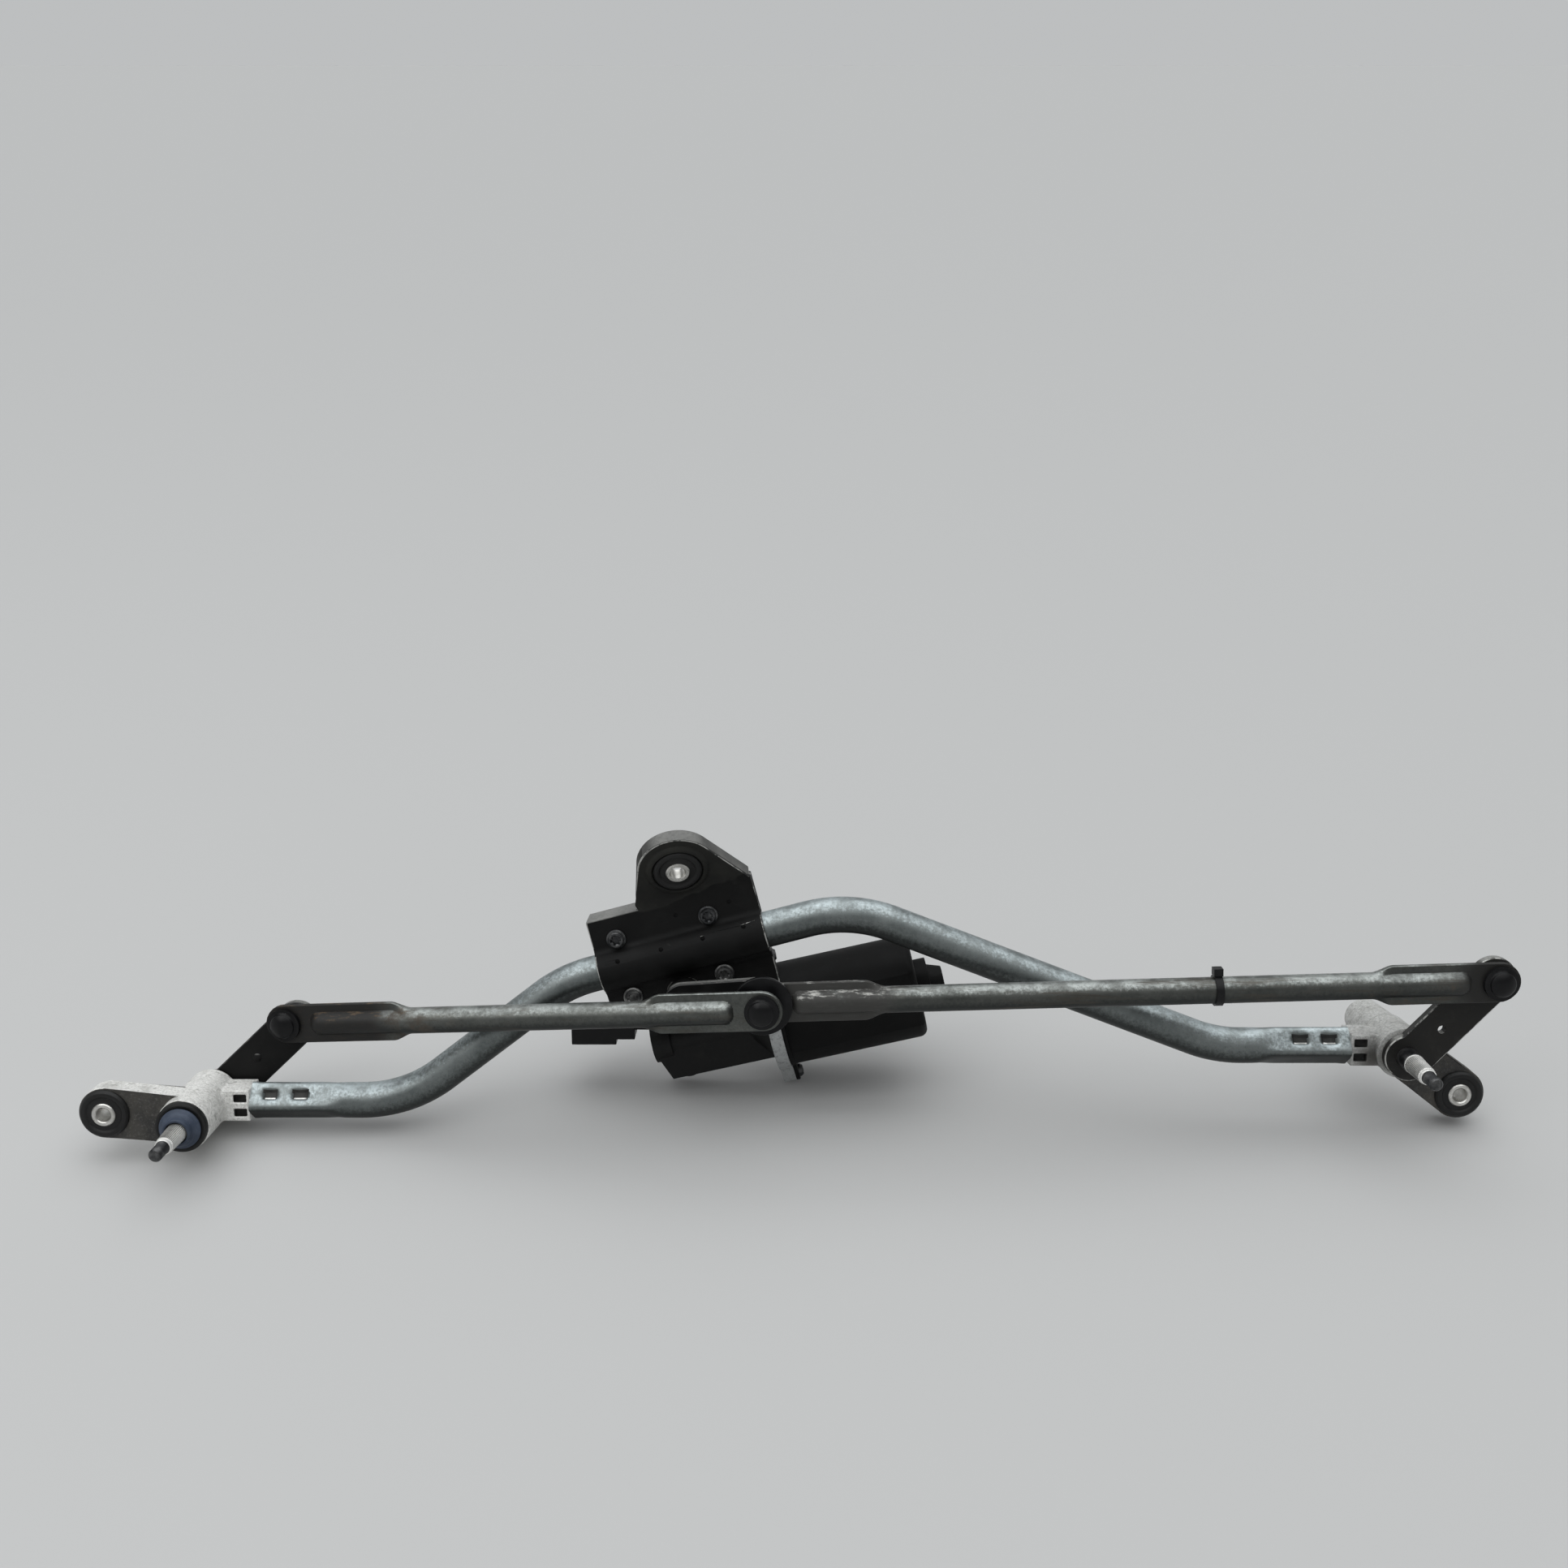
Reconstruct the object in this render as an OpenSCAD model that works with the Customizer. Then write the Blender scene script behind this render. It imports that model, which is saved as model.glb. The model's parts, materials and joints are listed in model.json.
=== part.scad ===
// Front windscreen wiper linkage: tube frame, motor with worm gear, crank, two rods and two wiper spindles.
// Linkage plane: x to the right, y up in the plane, z along the spindles, with the crank axis at x = y = 0.

/* [Layout] */
// Backward lean of the linkage plane from upright, degrees
lean = 14; // [5:1:40]
// Left wiper spindle, along x from the crank axis
left_x = -300; // [-330:1:-280]
// Left wiper spindle, along y from the crank axis
left_y = -70; // [-76:1:-64]
// Right wiper spindle, along x from the crank axis
right_x = 439; // [420:1:470]
// Right wiper spindle, along y from the crank axis
right_y = -34; // [-40:1:-28]
// Length of the left mounting lug, spindle to bush
left_lug_l = 50; // [44:1:60]
// Direction of the left mounting lug, degrees
left_lug_a = 175; // [160:1:190]
// Length of the right mounting lug, spindle to bush
right_lug_l = 54; // [46:1:64]
// Direction of the right mounting lug, degrees
right_lug_a = -37; // [-50:1:-25]

/* [Linkage] */
// Crank radius
crank_r = 48; // [40:0.5:52]
// Crank direction at rest, degrees
crank_a = 4; // [-4:0.5:10]
// Left lever length, spindle to ball
left_lever_l = 71.5; // [66:0.5:80]
// Left lever direction at rest, degrees
left_lever_a = 43.5; // [40:0.5:55]
// Right lever length, spindle to ball
right_lever_l = 69.5; // [64:0.5:78]
// Right lever direction at rest, degrees
right_lever_a = 47.5; // [44:0.5:58]
// Lever and crank plate thickness
plate_t = 5.5; // [4:0.5:6]
// Lever half width
lever_w = 13.5; // [12:0.5:15]
// Offset of the left lever's plate from the line between its holes
left_shift = 4.5; // [0:0.5:5]
// Offset of the right lever's plate from the line between its holes
right_shift = 2.5; // [0:0.5:5]
// Ball radius of the joints
ball_r = 6; // [5.5:0.1:6.4]
// Height of a ball over its lever face
ball_h = 10.5; // [10:0.5:14]
// Distance between the two balls of the crank stud
ball_pitch = 15; // [14.5:0.5:18]
// Rod tube radius
rod_r = 8; // [7:0.25:9]
// Rod wall
rod_wall = 1.4; // [1:0.1:2]
// Half width of a flattened rod end
rod_eye_r = 12.5; // [12:0.25:14]
// Thickness of a flattened rod end
rod_flat_t = 3; // [2.4:0.2:3.6]
// Length of a flattened rod end, from the ball
rod_flat_l = 70; // [64:1:80]
// Distance of the cable tie from the crank end of the right rod
tie_at = 271; // [200:1:320]

/* [Frame tube] */
// Tube radius
tube_r = 11; // [10:0.5:12]
// Tube wall
tube_wall = 2; // [1.5:0.25:2.5]
// Slope of the tube through the bracket, degrees
tube_slope = 14.9; // [12:0.1:18]
// Distance of the tube from the crank axis
tube_off = 26.2; // [25.5:0.1:28]
// Slope of the rising tube on the left, degrees
rise_slope = 37.6; // [34:0.2:42]
// Slope of the falling tube on the right, degrees
fall_slope = -21.2; // [-24:0.2:-18]
// Start of the rise, along x
rise_x = -174; // [-184:1:-164]
// Start of the level right end, along x
level_x = 328; // [318:1:338]
// Bend radius on the tube axis
bend_r = 84; // [60:1:100]
// Gap between a spindle barrel and the tube end
spigot_l = 14; // [11:0.5:18]
// Depth of a spigot inside the tube
spigot_in = 42; // [36:1:50]

/* [Spindles] */
// Spindle radius in its bushes
spindle_r = 6.5; // [6:0.1:7]
// Serrated seat radius
seat_r = 5.4; // [5:0.1:5.8]
// Thread radius of the spindle tip
thread_r = 4; // [3.5:0.25:4.5]
// Thread length of the spindle tip
thread_l = 12; // [10:0.5:14]
// Barrel radius of a housing
barrel_r = 16; // [15:0.5:18]
// Bush length
bearing_l = 12; // [8:0.5:16]
// Bush wall
bearing_wall = 2; // [1.5:0.25:3]
// Height of the left barrel over the tube plane
left_front = 40; // [36:1:46]
// Height of the right barrel over the tube plane
right_front = 15; // [14:0.5:18]
// Depth of the left barrel under the tube plane
left_rear = 11.5; // [11:0.5:14]
// Depth of the right barrel under the tube plane
right_rear = 54; // [46:1:58]
// Radius of the right barrel at its rear end
right_rear_r = 12; // [11.5:0.25:14]
// Height of the left spindle tip over the barrel
left_tip = 44; // [40:1:50]
// Height of the right spindle tip over the lever
right_tip = 45; // [40:1:50]

/* [Mounting bushes] */
// Bolt hole radius of a bush sleeve
bolt_r = 4.4; // [4:0.1:5]
// Sleeve radius
sleeve_r = 7.2; // [6.5:0.1:8]
// Rubber waist radius
waist_r = 11; // [10:0.25:12]
// Rubber flange radius
rubber_r = 15; // [14:0.25:16]
// Rubber flange thickness
rubber_t = 2.6; // [2:0.2:3.4]
// Lug thickness of a cast housing
lug_t = 14; // [11:0.5:16]
// Eye radius of a cast lug
eye_r = 16; // [15.5:0.25:18]
// Height of the left lug over the tube plane
left_lug_z = 18; // [14:0.5:22]
// Height of the right lug over the tube plane
right_lug_z = -15; // [-20:0.5:-12]

/* [Bracket] */
// Sheet thickness
sheet_t = 2.5; // [2:0.25:3]
// Height of the plate's back over the tube plane
plate_z = 1.5; // [0.5:0.25:3]
// Left edge of the plate, along the tube
plate_l = 46.5; // [42:0.5:50]
// Right edge of the plate, along the tube
plate_rt = 58.5; // [54:0.5:64]
// Lower edge of the plate under the crank axis
plate_low = 8; // [6:0.5:12]
// Bend line of the tab over the crank axis
tab_line = 63; // [60:0.5:66]
// Forward bend of the tab, degrees
tab_bend = 30; // [20:1:40]
// Bush of the tab, along the tube
tab_u = 17.9; // [14:0.5:22]
// Bush of the tab over the bend line, along the tab
tab_t = 20.3; // [19:0.5:24]
// Tab radius
tab_r = 24; // [22:0.5:26]
// Left foot of the tab, along the tube
tab_foot = -14; // [-20:0.5:-8]
// Depth of the tab's rim
rim_d = 7; // [4:0.5:10]
// Depth of the shoulder flange
shoulder_d = 18; // [10:1:22]
// Screw spacing along the tube
screw_u = 58; // [54:0.5:62]
// First screw column, along the tube
screw_u0 = -31; // [-33:0.5:-29]
// Screw rows on each side of the tube axis
screw_v = 19; // [18.8:0.1:20]
// Screw radius
screw_r = 3; // [2.5:0.25:3.25]
// Screw head radius
head_r = 6; // [5.5:0.25:6.5]

/* [Motor] */
// Slope of the motor axis, degrees
motor_a = 12.8; // [10:0.2:16]
// Distance of the worm axis from the crank axis
worm_d = 42; // [40:0.5:44]
// Depth of the worm axis under the tube plane
motor_z = 46; // [45.5:0.5:50]
// Motor can radius
can_r = 33; // [32:0.5:36]
// Half distance between the flats of the can
can_flat = 28; // [27.5:0.5:30]
// Motor can length
can_l = 90; // [86:1:100]
// Can wall
can_wall = 2.5; // [2:0.25:3]
// Start of the can from the worm centre
can_at = 51; // [49:0.5:56]
// Thickness of the gear housing's motor flange
flange_t = 8; // [6:0.5:10]
// Wheel teeth
teeth = 57; // [45:1:65]
// Wheel tooth depth
tooth_h = 2.6; // [2:0.2:3]
// Wheel thickness
wheel_t = 10; // [8:0.5:12]
// Armature shaft radius
shaft_r = 4; // [3.5:0.25:4.5]
// Output shaft radius
output_r = 5; // [4.5:0.25:5.5]
// Radius of the output tower
tower_r = 10.5; // [9.5:0.25:11]
// Gear housing wall
case_wall = 3.5; // [3:0.25:5]
// Armature core radius
core_r = 22; // [20:0.5:22.5]

/* [Hidden] */
$fn = 64;

// Clearances: pressed, running, free and between moving pieces
press_gap = 0.03;
run_gap = 0.04;
free_gap = 0.3;
ball_gap = 0.1;
// Spare length of a cutting tool
cut = 1;

// Colours
zinc = [0.66, 0.69, 0.68];
cast = [0.62, 0.63, 0.62];
e_coat = [0.1, 0.1, 0.1];
black_rubber = [0.07, 0.07, 0.07];
black_plastic = [0.09, 0.09, 0.1];
bright_steel = [0.72, 0.72, 0.7];
dark_steel = [0.2, 0.2, 0.21];
bronze = [0.6, 0.45, 0.3];
copper = [0.7, 0.4, 0.25];
dust_blue = [0.33, 0.4, 0.52];

// Layers along the spindles, from the tube plane
left_lever_z = -left_rear - 1 - plate_t;
right_lever_z = right_front + 1;
plate_front = plate_z + sheet_t;
channel_r = tube_r + press_gap + sheet_t;
crank_z = channel_r + 3;
crank_front = crank_z + plate_t;
tower_top = crank_z - 2.5;
nut_h = 4.2;
inner_ball_z = crank_front + nut_h + rod_flat_t / 2 + 1.3;
outer_ball_z = inner_ball_z + ball_pitch;
left_ball_z = left_lever_z + plate_t + ball_h;
right_ball_z = right_lever_z + plate_t + ball_h;
wheel_z = -motor_z;
case_front = wheel_z + wheel_t / 2 + 1.5;
case_top = case_front + case_wall;
case_rear = wheel_z - 12;
cover_t = 3;

// Places in the linkage plane
left_p = [left_x, left_y];
right_p = [right_x, right_y];
pin_p = crank_r * [cos(crank_a), sin(crank_a)];
left_ball_p = left_p + left_lever_l * [cos(left_lever_a), sin(left_lever_a)];
right_ball_p = right_p + right_lever_l * [cos(right_lever_a), sin(right_lever_a)];
left_bush_p = left_p + left_lug_l * [cos(left_lug_a), sin(left_lug_a)];
right_bush_p = right_p + right_lug_l * [cos(right_lug_a), sin(right_lug_a)];
left_end_x = left_x + barrel_r + spigot_l;
right_end_x = right_x - barrel_r - spigot_l;

// The tab bush in the bracket's own frame, with v across the tube and w along the spindles
tab_v = tab_line + tab_t * cos(tab_bend) - sheet_t / 2 * sin(tab_bend);
tab_w = plate_z + tab_t * sin(tab_bend) + sheet_t / 2 * cos(tab_bend);
centre_p = turned([tab_u, tab_v], tube_slope);

// Corners of the bent tube's axis: left end, rise, bracket, fall, right end
slope_start = tube_off * [-sin(tube_slope), cos(tube_slope)];
tube_path = [
    [left_end_x, left_y],
    [rise_x, left_y],
    crossing([rise_x, left_y], rise_slope, slope_start, tube_slope),
    crossing([level_x, right_y], fall_slope, slope_start, tube_slope),
    [level_x, right_y],
    [right_end_x, right_y]];

// Gear sizes
wheel_tip_r = worm_d - shaft_r - 1.2;
cavity_r = wheel_tip_r + 1.2;
case_r = cavity_r + case_wall;
worm_bore = shaft_r + 4.5;
tunnel_r = worm_bore + case_wall;
worm_l = 36;
tunnel_start = -34;
ear_at = can_r + 7;
ear_r = 6;
magnet_in = core_r + 0.8;
magnet_out = can_r - can_wall - press_gap;
// Room in the can before the commutator, before the core and behind it
commutator_in = 12;
brush_room = 32;
end_room = 14;
commutator_at = can_at + commutator_in;
core_at = can_at + brush_room;
core_l = can_l - brush_room - end_room;
boss_l = 8;
plug_l = 9;
boss_r = 16;
plug_r = 10.5;
bearing_r = 8;

function turned(p, a) = [p[0] * cos(a) - p[1] * sin(a), p[0] * sin(a) + p[1] * cos(a)];
function heading(p, q) = atan2(q[1] - p[1], q[0] - p[0]);
function span(p, q) = norm(q - p);
// Meeting point of two lines, each with a point and a slope
function crossing(p, pa, q, qa) =
    let (d = (q - p), t = (d[0] * sin(qa) - d[1] * cos(qa)) / sin(qa - pa)) p + t * [cos(pa), sin(pa)];
// Tangent points of two circles on one side, side = 1 left or -1 right
function tangent(p, q, rp, rq, side) =
    let (a = heading(p, q) + side * acos((rp - rq) / span(p, q)), d = [cos(a), sin(a)])
        [p + rp * d, q + rq * d];

// Stands the linkage up with its lean and puts the tab's bush at the origin
module place() {
    rotate([90 - lean, 0, 0])
        translate([-centre_p[0], -centre_p[1], -tab_w])
            children();
}

// Frame of the bracket: u along the tube, v across it
module on_bracket() {
    rotate([0, 0, tube_slope])
        children();
}

// Frame of the tab: x along the tube, y up the tab from the bend line, z out of its front
module on_tab() {
    on_bracket()
        translate([0, tab_line, plate_z])
            rotate([tab_bend, 0, 0])
                children();
}

// Frame of the motor: z along the armature, y towards the crank
module on_motor() {
    rotate([0, 0, motor_a])
        translate([0, -worm_d, wheel_z])
            rotate([0, 90, 0])
                children();
}

module at(p, z = 0) {
    translate([p[0], p[1], z])
        children();
}

module ring(r_out, r_in, h) {
    difference() {
        cylinder(r = r_out, h = h);
        translate([0, 0, -cut])
            cylinder(r = r_in, h = h + 2 * cut);
    }
}

// Sides of the outline round two circles, a hair inside the tangents so that they cross the circles
side_in = 0.02;
function link_sides(p, q, rp, rq) =
    let (left = tangent(p, q, rp - side_in, rq - side_in, 1))
        let (right = tangent(p, q, rp - side_in, rq - side_in, -1))
            [left[0], left[1], right[1], right[0]];

// Flat link with round ends of different size
module link(p, q, rp, rq, h) {
    at(p)
        cylinder(r = rp, h = h);
    at(q)
        cylinder(r = rq, h = h);
    linear_extrude(height = h)
        polygon(link_sides(p, q, rp, rq));
}

// Bar of round section between two points of the tube plane
module bar(p, q, r) {
    at(p)
        rotate([0, 0, heading(p, q)])
            rotate([0, 90, 0])
                cylinder(r = r, h = span(p, q));
}

// Bend of round section at a corner of the path
module bend(a, v, b, r) {
    in_dir = heading(a, v);
    turn = heading(v, b) - in_dir;
    side = sign(turn);
    centre = v + bend_set(turn) * [-cos(in_dir), -sin(in_dir)] + side * bend_r * [-sin(in_dir), cos(in_dir)];
    at(centre)
        rotate([0, 0, side > 0 ? in_dir - 90 : in_dir + 90 + turn])
            rotate_extrude(angle = abs(turn))
                translate([bend_r, 0])
                    circle(r = r);
}

function bend_set(turn) = bend_r * tan(abs(turn) / 2);

// Ends of the straight run between corners i and i + 1, lapped a little into the bends
lap = 1;
function run_start(i) = i == 0 ? tube_path[0] : tube_path[i] + (bend_set(corner_turn(i)) - lap) * run_dir(i);
function run_end(i) = i == len(tube_path) - 2 ? tube_path[i + 1]
    : tube_path[i + 1] - (bend_set(corner_turn(i + 1)) - lap) * run_dir(i);
function run_dir(i) = (tube_path[i + 1] - tube_path[i]) / span(tube_path[i], tube_path[i + 1]);
function corner_turn(i) = heading(tube_path[i], tube_path[i + 1]) - heading(tube_path[i - 1], tube_path[i]);

// Bent round bar, its bends a hair thinner than the straight runs
bend_thin = 0.2;
module tube_run(r) {
    for (i = [0 : len(tube_path) - 2])
        bar(run_start(i), run_end(i), r);
    for (i = [1 : len(tube_path) - 2])
        bend(tube_path[i - 1], tube_path[i], tube_path[i + 1], r - bend_thin);
}

// Crimp windows pressed through the tube wall into the spigot, on the upper front and the lower back
window_l = 9;
window_w = 4.5;
window_at = 12;
window_pitch = 18;
window_a = 40;
module crimp_windows(end_x, y, dir) {
    for (k = [0, 1], side = [0, 180])
        translate([end_x + dir * (window_at + window_pitch * k), y, 0])
            rotate([side - window_a, 0, 0])
                translate([-window_l / 2, -window_w / 2, tube_r - tube_wall - cut])
                    cube([window_l, window_w, tube_wall + 2 * cut]);
}

module frame_tube() {
    color(zinc)
        place()
            difference() {
                tube_run(tube_r);
                tube_run(tube_r - tube_wall);
                crimp_windows(left_end_x, left_y, 1);
                crimp_windows(right_end_x, right_y, -1);
            }
}

// Cast spigot between barrel and tube, with ribs between pockets, pointing along x
pocket_l = 8;
pocket_w = 5;
pocket_d = 5;
pocket_v = 4.6;
rib = 2;
module spigot(reach) {
    block = tube_r - 1;
    difference() {
        union() {
            translate([0, -block, -block])
                cube([reach, 2 * block, 2 * block]);
            rotate([0, 90, 0])
                cylinder(r = tube_r - tube_wall - press_gap, h = reach + spigot_in);
        }
        for (side = [-1, 1], row = [-1, 1])
            translate([
                reach - rib - pocket_l,
                row * pocket_v - pocket_w / 2,
                side > 0 ? block - pocket_d : -block - cut])
                cube([pocket_l, pocket_w, pocket_d + cut]);
    }
}

// Cast pivot housing: barrel, spigot and mounting lug
module housing(p, front, rear, rear_r, dir, lug_p, lug_z) {
    bush_r = spindle_r + run_gap + bearing_wall;
    difference() {
        union() {
            at(p, -rear)
                cylinder(r1 = rear_r, r2 = barrel_r, h = rear + front);
            at(p)
                rotate([0, 0, dir > 0 ? 0 : 180])
                    spigot(barrel_r + spigot_l);
            translate([0, 0, lug_z])
                link(p, lug_p, barrel_r - 1, eye_r, lug_t);
        }
        at(p, -rear - cut)
            cylinder(r = bush_r + press_gap, h = rear + front + 2 * cut);
        at(lug_p, lug_z - cut)
            cylinder(r = waist_r + press_gap, h = lug_t + 2 * cut);
    }
}

module left_housing() {
    color(cast)
        place()
            housing(left_p, left_front, left_rear, barrel_r, 1, left_bush_p, left_lug_z);
}

module right_housing() {
    color(cast)
        place()
            housing(right_p, right_front, right_rear, right_rear_r, -1, right_bush_p, right_lug_z);
}

// Rubber mounting bush round a plate of thickness t that starts at z = 0
module rubber_bush(t) {
    difference() {
        union() {
            cylinder(r = waist_r, h = t);
            translate([0, 0, -rubber_t])
                cylinder(r = rubber_r, h = rubber_t);
            translate([0, 0, t])
                cylinder(r = rubber_r, h = rubber_t);
        }
        translate([0, 0, -rubber_t - cut])
            cylinder(r = sleeve_r + press_gap, h = t + 2 * rubber_t + 2 * cut);
    }
}

sleeve_over = 0.6;
module bush_sleeve(t) {
    translate([0, 0, -rubber_t - sleeve_over])
        ring(sleeve_r, bolt_r, t + 2 * (rubber_t + sleeve_over));
}

module left_bush_rubber() {
    color(black_rubber)
        place()
            at(left_bush_p, left_lug_z)
                rubber_bush(lug_t);
}

module left_bush_sleeve() {
    color(bright_steel)
        place()
            at(left_bush_p, left_lug_z)
                bush_sleeve(lug_t);
}

module right_bush_rubber() {
    color(black_rubber)
        place()
            at(right_bush_p, right_lug_z)
                rubber_bush(lug_t);
}

module right_bush_sleeve() {
    color(bright_steel)
        place()
            at(right_bush_p, right_lug_z)
                bush_sleeve(lug_t);
}

module centre_bush_rubber() {
    color(black_rubber)
        place()
            on_tab()
                at([tab_u, tab_t])
                    rubber_bush(sheet_t);
}

module centre_bush_sleeve() {
    color(bright_steel)
        place()
            on_tab()
                at([tab_u, tab_t])
                    bush_sleeve(sheet_t);
}

// Block of the tab's outline drawn in by g, with its foot at y = foot
module tab_block(g, foot, h) {
    c = [tab_u, tab_t];
    left = tangent([tab_foot, 0], c, 0.01, tab_r - g - side_in, 1);
    right = tangent([plate_rt, 0], c, 0.01, tab_r - g - side_in, -1);
    at(c)
        cylinder(r = tab_r - g, h = h);
    linear_extrude(height = h)
        polygon([[tab_foot + g + bend_lap, foot], left[1], c, right[1], [plate_rt - g - bend_lap, foot]]);
}

// Places of the motor screws in the bracket frame
screw_places = [
    for (u = [screw_u0, screw_u0 + screw_u], v = [tube_off - screw_v, tube_off + screw_v])
        [u, v]];
// Dents in the front of the sheet, in the bracket frame
dents = [[8, 50], [20.8, 33.8], [-5.5, 33.5], [46.5, 34.5], [41.4, 50], [-32.9, 33]];
dent_r = 1.4;
dent_d = 1;
// Height of the sheet's front at v across the tube
function front_at(v) = max(plate_front, sqrt(max(0, pow(channel_r, 2) - pow(v - tube_off, 2))));

// Height of the plate over the tab's bend line
bend_lap = 0.4;
module plate_body() {
    left = -plate_l;
    shoulder = tab_line - 3.5;
    lobe_r = tower_r + 7;
    // Plate with a lobe round the output tower
    translate([left, -plate_low, plate_z])
        cube([plate_l + plate_rt, plate_low + shoulder, sheet_t]);
    translate([0, 0, plate_z])
        cylinder(r = lobe_r, h = sheet_t);
    translate([tab_foot, shoulder, plate_z])
        cube([plate_rt - tab_foot, tab_line + bend_lap - shoulder, sheet_t]);
    // Flange along the shoulder and rims down both sides
    translate([left, shoulder - sheet_t, plate_z - shoulder_d])
        cube([tab_foot - left, sheet_t, shoulder_d + sheet_t]);
    translate([plate_rt - sheet_t, -plate_low, plate_z - rim_d])
        cube([sheet_t, plate_low + tab_line + bend_lap, rim_d + sheet_t]);
    translate([left, -plate_low, plate_z - rim_d / 2])
        cube([sheet_t, plate_low + shoulder, rim_d / 2 + sheet_t]);
    // Channel pressed forward over the tube
    intersection() {
        translate([left, tube_off, 0])
            rotate([0, 90, 0])
                cylinder(r = channel_r, h = plate_l + plate_rt);
        translate([left, tube_off - channel_r, plate_z])
            cube([plate_l + plate_rt, 2 * channel_r, channel_r]);
    }
}

// Tab with a rim round its edge, bent back
module tab_body() {
    difference() {
        translate([0, 0, -rim_d])
            tab_block(0, 0, rim_d + sheet_t);
        translate([0, 0, -rim_d - cut])
            tab_block(sheet_t, -cut, rim_d + cut);
    }
}

module mount_bracket() {
    color(e_coat)
        place()
            difference() {
                union() {
                    on_bracket()
                        plate_body();
                    on_tab()
                        tab_body();
                }
                on_bracket() {
                    translate([-plate_l - cut, tube_off, 0])
                        rotate([0, 90, 0])
                            cylinder(r = tube_r + press_gap, h = plate_l + plate_rt + 2 * cut);
                    translate([0, 0, plate_z - cut])
                        cylinder(r = tower_r + free_gap, h = sheet_t + 2 * cut);
                    for (s = screw_places)
                        at(s, plate_z - cut)
                            cylinder(r = screw_r + free_gap, h = sheet_t + 2 * cut);
                    for (d = dents)
                        at(d, front_at(d[1]) - dent_d)
                            cylinder(r = dent_r, h = channel_r);
                }
                on_tab()
                    at([tab_u, tab_t], -cut)
                        cylinder(r = waist_r + press_gap, h = sheet_t + 2 * cut);
            }
}

// Pan head screw with its seat at z = 0 and its shank down
head_h = 4.5;
// Shares of a pan head: straight side, top radius and drive radius
head_side = 0.45;
head_top = 0.72;
head_drive = 0.45;
module pan_screw(r, hr, hh, l) {
    difference() {
        union() {
            cylinder(r = hr, h = hh * head_side);
            translate([0, 0, hh * head_side])
                cylinder(r1 = hr, r2 = hr * head_top, h = hh * (1 - head_side));
            translate([0, 0, -l])
                cylinder(r = r, h = l);
        }
        translate([0, 0, hh * head_side])
            cylinder(r = hr * head_drive, h = hh, $fn = 6);
    }
}

screw_l = 16;
module motor_screws() {
    color(dark_steel)
        place()
            on_bracket()
                for (s = screw_places)
                    at(s, plate_front)
                        pan_screw(screw_r, head_r, head_h, screw_l);
}

// Motor flange across the armature axis, with two ears
module motor_flange(r, h) {
    cylinder(r = r, h = h);
    for (side = [-1, 1])
        link([0, 0], [0, side * ear_at], r * 0.7, ear_r, h);
}

pillar_r = 6;
arm_r = 12;
arm_over = 3;
cone_w = 8;
cone_h = 14;
flare_l = 14;
flare_in = 6;
flange_lip = 2;
tunnel_lip = 2;
tunnel_lip_l = 12;
foot_r = 9;
foot_h = 18;
foot_x = -1;
foot_drop = 6;
sump_w = 22;
sump_h = 24;
sump_slope = 8;
module gear_housing() {
    color(cast)
        place()
            difference() {
                union() {
                    translate([0, 0, case_rear])
                        cylinder(r = case_r, h = case_top - case_rear);
                    // Output tower on a cone
                    translate([0, 0, case_top])
                        cylinder(r1 = tower_r + cone_w, r2 = tower_r, h = cone_h);
                    translate([0, 0, case_top])
                        cylinder(r = tower_r, h = tower_top - case_top);
                    // Screw pillars on arms
                    on_bracket()
                        for (s = screw_places) {
                            at(s, case_top - case_wall)
                                cylinder(r = pillar_r, h = plate_z - case_top + case_wall);
                            translate([0, 0, case_top - case_wall])
                                link([0, 0], s, arm_r, pillar_r, case_wall + arm_over);
                        }
                    // Worm tunnel with its end boss and the motor flange
                    on_motor() {
                        translate([0, 0, tunnel_start])
                            cylinder(r = tunnel_r, h = can_at - tunnel_start);
                        translate([0, 0, tunnel_start])
                            cylinder(r = tunnel_r + tunnel_lip, h = tunnel_lip_l);
                        translate([0, 0, can_at - flange_t])
                            motor_flange(can_r + flange_lip, flange_t);
                        translate([0, 0, can_at - flange_t - flare_l])
                            cylinder(r1 = tunnel_r, r2 = can_r - flare_in, h = flare_l);
                        // Body under the tunnel, sloped off at its end
                        rotate([0, -90, 0])
                            linear_extrude(height = sump_w, center = true)
                                polygon([
                                    [tunnel_start + 1, 0],
                                    [tunnel_start + 1, -tunnel_r / 2],
                                    [tunnel_start + sump_slope, -sump_h],
                                    [can_at - flange_t + 1, -sump_h],
                                    [can_at - flange_t + 1, 0]]);
                    }
                    // Foot boss under the tunnel
                    at([foot_x, -worm_d - tunnel_r - foot_drop], wheel_z - foot_h / 2)
                        cylinder(r = foot_r, h = foot_h);
                }
                translate([0, 0, case_rear - cut])
                    cylinder(r = cavity_r, h = case_front - case_rear + cut);
                on_motor()
                    translate([0, 0, tunnel_start + case_wall])
                        cylinder(r = worm_bore, h = can_at - tunnel_start);
                translate([0, 0, case_front - cut])
                    cylinder(
                        r = output_r + run_gap + bearing_wall + press_gap,
                        h = crank_z - case_front + cut);
                on_bracket()
                    for (s = screw_places)
                        at(s, plate_front - screw_l - cut)
                            cylinder(r = screw_r + press_gap, h = screw_l + cut);
                on_motor()
                    for (side = [-1, 1])
                        translate([0, side * ear_at, can_at - flange_t - cut])
                            cylinder(r = can_screw_r + press_gap, h = flange_t + 2 * cut);
                for (a = cover_screw_a)
                    rotate([0, 0, a])
                        translate([cover_screw_at, 0, case_rear - cut])
                            cylinder(r = cover_screw_r + press_gap, h = cover_screw_in + 2 * cut);
            }
}

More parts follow.
